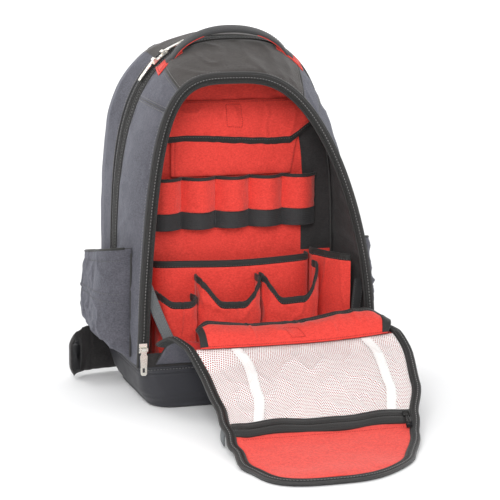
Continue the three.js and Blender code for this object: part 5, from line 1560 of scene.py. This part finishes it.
dashes("handle_stitches", [(P[2:-2, 2], N[2:-2, 2]), (P[2:-2, 10], N[2:-2, 10])], M["soft_thread"],
       "trim_fabric", 3.6, 2.5, 0.45)

for side, name in SIDES:
    u, v = shares(37, 25)
    t = span[side] - side * (u - 0.42) * 44.0 / ARCH_LENGTH
    at = HANDLE_AT - 2.0 / BODY_DEPTH + (v - 0.5) * 34.0 * (1.05 - 0.72 * u) / BODY_DEPTH
    ridge = 1.2 * bell(np.abs(v - 0.5), 0.16, 0.06) * (0.3 + 0.7 * u)
    pts = np.zeros((37, 25, 3))
    for i in range(37):
        for j in range(25):
            value = float(at[i, j])
            pts[i, j] = bag_row(value, [float(t[i, j])],
                                -(GAP + 1.5) - swell_at(value) - float(ridge[i, j]))[0][0]
    N = facing(pts, 2)
    sheet("anchor_" + name, pts, 1.5, M["red"], "red_fabric", N=-N, replaces=["handle_anchor_" + name])
    lines = [grid_line(pts, N, [(0.08, 0.1), (0.9, 0.14), (0.9, 0.86), (0.08, 0.9), (0.08, 0.1)]),
             grid_line(pts, N, [(0.08, 0.1), (0.9, 0.86)]), grid_line(pts, N, [(0.08, 0.9), (0.9, 0.14)])]
    dashes("anchor_stitches_" + name, lines, M["red_thread"], "red_fabric", 2.8, 2.0, 0.45)

# Side pockets
POCKET = dict(front=0.165, rear=0.935, lf=0.14, lr=0.178, tf=0.44, tr=0.375, swell=38.0)


def side_lines(side):
    """Skin of the bag's side at grid places, looked up once per section."""
    cache = {}

    def look(at, z):
        key = round(at, 4)
        if key not in cache:
            q = np.linspace(0, 0.5, 500)
            p, _ = arch_flat(at, q if side < 0 else 1 - q)
            cache[key] = p
        p = cache[key]
        k = int(np.argmax(p[:, 1] >= z))
        k = max(k, 1)
        f = (z - p[k - 1, 1]) / max(p[k, 1] - p[k - 1, 1], 1e-9)
        return p[k - 1, 0] + (p[k, 0] - p[k - 1, 0]) * f

    return look


for side, name in SIDES:
    look = side_lines(side)
    U, V = np.linspace(0, 1, 97), np.linspace(0, 1, 61)
    P = np.zeros((97, 61, 3))
    for i, u in enumerate(U):
        at = POCKET["front"] + (POCKET["rear"] - POCKET["front"]) * u
        top = POCKET["tf"] + (POCKET["tr"] - POCKET["tf"]) * u
        plan = max(0.0, 1 - abs(2 * u - 1) ** 4) ** 0.5
        for j, v in enumerate(V):
            low = POCKET["lf"] + (POCKET["lr"] - POCKET["lf"]) * u
            rise = v**1.4
            z = (low + (top - low) * rise) * BODY_HEIGHT
            upright_share = min(1, 0.12 + 2.4 * v**0.75) * (1 - 0.2 * v**3)
            out = swell_at(at) + 0.8 * min(1, 1.5 * plan) + 2.6 * GAP + POCKET["swell"] * plan * upright_share
            P[i, j] = [look(at, z) + side * out, bag_y(at, z), z]
    N = facing(P, 0, side)
    uu, vv = U[:, None] + 0 * V[None], V[None] + 0 * U[:, None]
    fade = edge_fade(uu, 0, 1, 0.08) * smooth(vv / 0.12)
    w = (1.4 * noise3(P, 40, 200 + side) + 0.9 * noise3(P, 16, 203)
         + 2.6 * (creases(P * [1, 0.8, 0.8], 34, 205 + side, 0.3) - 0.3))
    seam = 1.6 * bell(vv, 0.66, 0.016) - 1.0 * bell(vv, 0.638, 0.012)
    arc1 = np.abs(vv - (0.62 - 0.26 * np.sin(math.pi * uu)))
    arc2 = np.abs(vv - (0.54 - 0.26 * np.sin(math.pi * uu)))
    emboss = -0.8 * bell(arc1, 0, 0.014) - 0.8 * bell(arc2, 0, 0.014)
    hem = 1.0 * smooth((vv - 0.93) / 0.02)
    P = P + N * ((w * fade * (1 - 0.5 * hem)) + (seam + emboss) * fade + hem * 0.9)[..., None]
    sheet("side_pocket_cloth_" + name, P, CLOTH, [M["side"], M["dark"], M["pipe"]], "black_fabric", N=-N,
          replaces=["side_pocket_" + name])
    lines = []
    for q in (0.675, 0.61, 0.92):
        lines.append(grid_line(P, N, [(0.02, q), (0.98, q)], 120))
    dashes("side_pocket_stitches_" + name, lines, M["soft_thread"], "black_fabric")
    tubes("side_pocket_hem_" + name, [P[1:-1, -1] - N[1:-1, -1] * 0.9], 1.9, M["bind"], "trim_fabric")
    tubes("side_pocket_piping_" + name, [P[0, 2:-2] - N[0, 2:-2] * 0.5, P[-1, 2:-2] - N[-1, 2:-2] * 0.5], 1.5,
          M["pipe"], "trim_fabric", sides=6)

# Back of the bag
BACK_Y = BODY_DEPTH - BODY_FRONT + GAP
outline = arch_flat(1.0, np.linspace(0, 1, 300))[0]
X, Z = outline_grid(outline, FOOT, outline[:, 1].max() - 0.3, 78, 84)
P = np.stack([X, np.full_like(X, BACK_Y + CLOTH), Z], -1)
P[..., 1] -= np.clip(0.6 + 0.7 * noise3(P, 40, 211) + 0.4 * noise3(P, 17, 212), 0, 1.6)
sheet("back_cloth", P, CLOTH - 1.7, M["dark"], "black_fabric", N=[0, -1.0, 0], replaces=["back_panel"])
line = outline + (np.array([0, 260.0]) - outline) * 0.03
dashes("back_stitches", [(np.c_[line[:, 0], np.full(300, BACK_Y + CLOTH - 0.3), line[:, 1]], [0, 1, 0])],
       M["thread"], "black_fabric")


VOXEL, SHRINK, CAP, FRAMES, PRESSURE = 4.5, 1.2, 5.0, 20, 4.0


def cushion(node, name, mat, channels=()):
    """Padded copy of a CAD solid: remeshed, blown up as cloth and smoothed."""
    source = bpy.data.objects[node]
    ob = bpy.data.objects.new(name, source.data.copy())
    bpy.context.scene.collection.objects.link(ob)
    ob.data.materials.clear()
    bpy.context.view_layer.objects.active = ob
    for other in bpy.context.selected_objects:
        other.select_set(False)
    ob.select_set(True)
    remesh = ob.modifiers.new("remesh", "REMESH")
    remesh.mode = "VOXEL"
    remesh.voxel_size = VOXEL * MM
    bpy.ops.object.modifier_apply(modifier="remesh")
    mesh = ob.data
    count = len(mesh.vertices)
    co = np.zeros(count * 3)
    no = np.zeros(count * 3)
    mesh.vertices.foreach_get("co", co)
    mesh.vertices.foreach_get("normal", no)
    start = co.reshape(-1, 3) - no.reshape(-1, 3) * SHRINK * MM
    mesh.vertices.foreach_set("co", start.ravel())
    mesh.update()
    cloth = ob.modifiers.new("cloth", "CLOTH")
    cloth.settings.use_pressure = True
    cloth.settings.uniform_pressure_force = PRESSURE
    cloth.settings.effector_weights.gravity = 0.0
    cloth.settings.quality = 4
    cloth.settings.shrink_min = -0.02
    cloth.point_cache.frame_start = 1
    cloth.point_cache.frame_end = FRAMES
    for k in range(1, FRAMES + 1):
        bpy.context.scene.frame_set(k)
    ready = ob.evaluated_get(bpy.context.evaluated_depsgraph_get())
    blown = np.zeros(count * 3)
    ready.data.vertices.foreach_get("co", blown)
    blown = blown.reshape(-1, 3)
    ob.modifiers.remove(cloth)
    bpy.context.scene.frame_set(1)
    move = blown - start
    length = np.linalg.norm(move, axis=1)[:, None]
    start = start + move * np.minimum(1, CAP * MM / np.maximum(length, 1e-9))
    mesh.vertices.foreach_set("co", start.ravel())
    mesh.update()
    subdivide = ob.modifiers.new("subdivision", "SUBSURF")
    subdivide.levels = subdivide.render_levels = 1
    bpy.ops.object.modifier_apply(modifier="subdivision")
    ob.select_set(False)
    mesh = ob.data
    count = len(mesh.vertices)
    co = np.zeros(count * 3)
    no = np.zeros(count * 3)
    mesh.vertices.foreach_get("co", co)
    mesh.update()
    mesh.vertices.foreach_get("normal", no)
    co = co.reshape(-1, 3) / MM
    no = no.reshape(-1, 3)
    lo, hi = [np.array(c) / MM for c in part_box(node)]
    for low, high, width, depth in channels:
        low, high = np.array(low), np.array(high)
        along = high - low
        share = np.clip(((co - low) @ along) / (along @ along), 0, 1)
        far = np.linalg.norm((co - low - share[:, None] * along)[:, [0, 2]], axis=1)
        co -= no * (depth * np.exp(-((far / width) ** 2)))[:, None] * (no[:, 1:2] > -0.3)
    co = co + no * (0.35 * noise3(co, 14, 220))[:, None]
    co = np.clip(co, lo, hi + np.array([0, 2.5, 0]))
    mesh.vertices.foreach_set("co", (co * MM).ravel())
    wide = hi - lo
    a = co[:, 0] if wide[0] > wide[1] else co[:, 1]
    write_uv(mesh, np.c_[a, co[:, 2]])
    mesh.materials.append(mat)
    mesh.polygons.foreach_set("use_smooth", np.ones(len(mesh.polygons), bool))
    mesh.update()
    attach(ob, "bag")
    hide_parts(node)


PAD_LOW, PAD_HIGH = 0.27 * BODY_HEIGHT, 0.86 * BODY_HEIGHT
y = BACK_Y + CLOTH + GAP + 11
quilt = []
for q in (0.2, 0.4, 0.6, 0.8):
    z = PAD_LOW + (PAD_HIGH - PAD_LOW) * q
    quilt.append(((-100, y, z - 6), (0, y, z + 6), 3.2, 3.5))
    quilt.append(((0, y, z + 6), (100, y, z - 6), 3.2, 3.5))
quilt.append(((0, y, PAD_LOW + 4), (0, y, PAD_HIGH - 4), 4.0, 4.5))
cushion("back_pad", "back_cushion", M["pad"], channels=quilt)
cushion("lumbar_pad", "lumbar_cushion", M["pad"], channels=[((-112, y, 98), (112, y, 98), 3.2, 3.5)])
for side, name in SIDES:
    cushion("shoulder_strap_" + name, "shoulder_cushion_" + name, M["dark"])
    cushion("hip_wing_" + name, "hip_cushion_" + name, M["dark"])

# Webbing on the shoulder straps and under them, with ladder buckles
BACK_PAD, STRAP_BOW = 11.0, 34.0
STRAP_Y = BACK_Y + CLOTH + GAP
STRAP_LINE = np.array([[0.26, 0.02, 0.925], [0.33, 0.62, 0.93], [0.4, 0.98, 0.86], [0.46, 1.0, 0.74],
                       [0.52, 0.92, 0.6], [0.57, 0.7, 0.47], [0.6, 0.52, 0.38]])
WEB_LINE = np.array([[0.61, 0.55, 0.355], [0.68, 0.38, 0.29], [0.79, 0.14, 0.225], [0.83, 0.02, 0.18]])


def back_line(rows, side):
    return np.c_[side * rows[:, 0] * HALF, STRAP_Y + BACK_PAD + rows[:, 1] * STRAP_BOW,
                 rows[:, 2] * BODY_HEIGHT]


# Bars of a ladder buckle: place along and across its tape, and size
LADDER_BARS = [(-9, 0, (34, 4.0, 4.0)), (0, 0, (34, 3.4, 4.0)), (9, 0, (34, 4.0, 4.0)),
               (0, -16, (4.0, 21, 4.0)), (0, 16, (4.0, 21, 4.0))]
for side, name in SIDES:
    rows = back_line(WEB_LINE, side)
    rows[3, 1] = STRAP_Y + 0.5
    P = strap_grid(rows, [1, 0, 0], 25.0, 60)
    N = facing(P, 1)
    sheet("strap_web_cloth_" + name, P, WEBBING, M["web"], "trim_fabric", N=N, replaces=["strap_web_" + name])
    rows = back_line(STRAP_LINE, side)
    rows[0, 1] = STRAP_Y + 1
    P = strap_grid(rows, [1, 0, 0], 25.0, 80)
    N = facing(P, 1)
    low = int(0.36 * len(P))
    P, N = P[low:-1], N[low:-1]
    Q = P + N * 1.2
    sheet("strap_tape_" + name, Q, WEBBING, M["web"], "trim_fabric", N=N)
    Qs = Q + N * WEBBING
    dashes("strap_tape_stitches_" + name, [(Qs[1:-1, 1], N[1:-1, 1]), (Qs[1:-1, 7], N[1:-1, 7])],
           M["soft_thread"], "trim_fabric")
    end = back_line(STRAP_LINE, side)[-1]
    start = back_line(WEB_LINE, side)[0]
    centre = (end + start) / 2 + np.array([0, -0.5, 0])
    down = unit(start - end)
    x = np.array([1.0, 0, 0])
    out = np.cross(x, down)
    out = out * np.sign(out[1])
    for k, (along, across, size) in enumerate(LADDER_BARS):
        place = centre + down * along + x * across + out * 3.0
        rounded_block(f"ladder_{name}_{k}", place, (x, down, out), size, M["rubber"], "trim_fabric", 1.1)

# Hip webbing on the wings, with the two halves of a buckle
for side, name in SIDES:
    wing = np.array([[0.744, 1.0], [0.88, 1.06], [1.02, 1.06], [1.14, 0.98], [1.21, 0.84], [1.23, 0.7]])
    line = np.c_[side * wing[:, 0] * HALF, wing[:, 1] * STRAP_Y + 3.0, np.full(6, 38.0)]
    P = strap_grid(line, [0, 0, 1], 25.0, 60)
    N = facing(P, 0, side)
    keep = slice(int(0.3 * len(P)), -1)
    P, N = P[keep], N[keep]
    Q = P + N * 0.9
    sheet("hip_tape_" + name, Q, WEBBING, M["web"], "trim_fabric", N=N)
    Qs = Q + N * WEBBING
    dashes("hip_tape_stitches_" + name, [(Qs[1:-1, 1], N[1:-1, 1]), (Qs[1:-1, 7], N[1:-1, 7])],
           M["soft_thread"], "trim_fabric")
    end, along = Q[-1, 4], Q[-1, 4] - Q[-4, 4]
    along = unit(along)
    out = N[-1, 4]
    up = np.cross(out, along)
    place = end + along * 6 + out * 2
    rounded_block("hip_buckle_" + name, place, (along, up, out), (26, 32, 7), M["rubber"], "trim_fabric", 2.0)

# Sliders and pulls: bevelled copies of the CAD solids
PULLS = ("rear_pull_low", "rear_pull_high", "front_pull_left", "front_pull_right")
for node in ("rear_slider_low", "rear_slider_high", "front_slider_left", "front_slider_right") + PULLS:
    bm = bmesh.new()
    bm.from_mesh(bpy.data.objects[node].data)
    bmesh.ops.remove_doubles(bm, verts=bm.verts, dist=1e-6)
    bmesh.ops.dissolve_limit(bm, angle_limit=math.radians(2), verts=bm.verts, edges=bm.edges)
    sharp = [e for e in bm.edges if e.is_manifold and e.calc_face_angle(0) > math.radians(35)]
    bmesh.ops.bevel(bm, geom=sharp, offset=0.28 * MM, segments=2, profile=0.6, affect="EDGES",
                    clamp_overlap=True)
    mesh = bpy.data.meshes.new(node + "_metal")
    bm.to_mesh(mesh)
    bm.free()
    mesh.materials.append(M["metal"])
    add_piece(node + "_metal", mesh, "pull_metal", node + "_body" if node in PULLS else "bag", [node])

# Floor that sweeps up behind the bag, and light
n = Nodes("floor_with_painted_glow")
grain = n.noise(n.add("ShaderNodeTexCoord").outputs["Object"], 3.0, 3.0, 0.5)
n.link(n.mix(grain, (0.9, 0.9, 0.905), (0.94, 0.94, 0.94)), n.bsdf.inputs["Base Color"])
n.bsdf.inputs["Roughness"].default_value = 0.9
# Painted light: the floor glows white, from nothing at 2 cm high up to strength 0.35 from 42 cm, so the sweep
# behind the bag shines though it is no lamp
glow = n.add("ShaderNodeSeparateXYZ")
n.link(n.add("ShaderNodeNewGeometry").outputs["Position"], glow.inputs[0])
near = n.maths("MULTIPLY", n.maths("SUBTRACT", glow.outputs[2], 0.02), 2.5, True)
n.bsdf.inputs["Emission Color"].default_value = (1.0, 1.0, 1.0, 1.0)
n.link(n.maths("MULTIPLY", near, 0.35), n.bsdf.inputs["Emission Strength"])
# In metres: half width, front end, where the sweep starts, its radius, and the top
FLOOR_HALF, FLOOR_NEAR, SWEEP_AT, SWEEP, FLOOR_HIGH = 8.0, -7.0, 1.6, 1.2, 6.0
arc = np.linspace(0.08, math.pi / 2, 20)
profile = [(FLOOR_NEAR, 0.0), (SWEEP_AT, 0.0)]
profile += [(SWEEP_AT + SWEEP * math.sin(a), SWEEP - SWEEP * math.cos(a)) for a in arc]
profile += [(SWEEP_AT + SWEEP, FLOOR_HIGH)]
turn = math.radians(-AZ)
verts = []
for y, z in profile:
    for x in (-FLOOR_HALF, FLOOR_HALF):
        verts.append((x * math.cos(turn) + y * math.sin(-turn), -x * math.sin(-turn) + y * math.cos(turn), z))
faces = [(2 * k, 2 * k + 1, 2 * k + 3, 2 * k + 2) for k in range(len(profile) - 1)]
mesh = bpy.data.meshes.new("floor")
mesh.from_pydata(verts, [], faces)
mesh.polygons.foreach_set("use_smooth", [True] * len(faces))
mesh.materials.append(n.mat)
floor = bpy.data.objects.new("floor", mesh)
bpy.context.scene.collection.objects.link(floor)

world = bpy.data.worlds.new("studio")
bpy.context.scene.world = world
world.use_nodes = True
sky = world.node_tree.nodes["Background"].inputs
sky["Color"].default_value, sky["Strength"].default_value = (1.0, 1.0, 1.0, 1.0), 0.82


def area(name, place, target, size, power):
    data = bpy.data.lights.new(name, "AREA")
    data.size, data.energy = size, power
    light = bpy.data.objects.new(name, data)
    bpy.context.scene.collection.objects.link(light)
    light.location = place
    way = Vector(target) - Vector(place)
    light.rotation_euler = way.to_track_quat("-Z", "Y").to_euler()


area("key", (-1.0, -2.3, 1.5), (0, -0.1, 0.25), 1.1, 44)
area("fill", (1.9, -1.6, 1.0), (0, -0.1, 0.25), 1.4, 8)
area("rim", (-1.6, 1.2, 1.9), (0, 0, 0.3), 1.0, 14)
bpy.context.scene.view_settings.view_transform = "Standard"
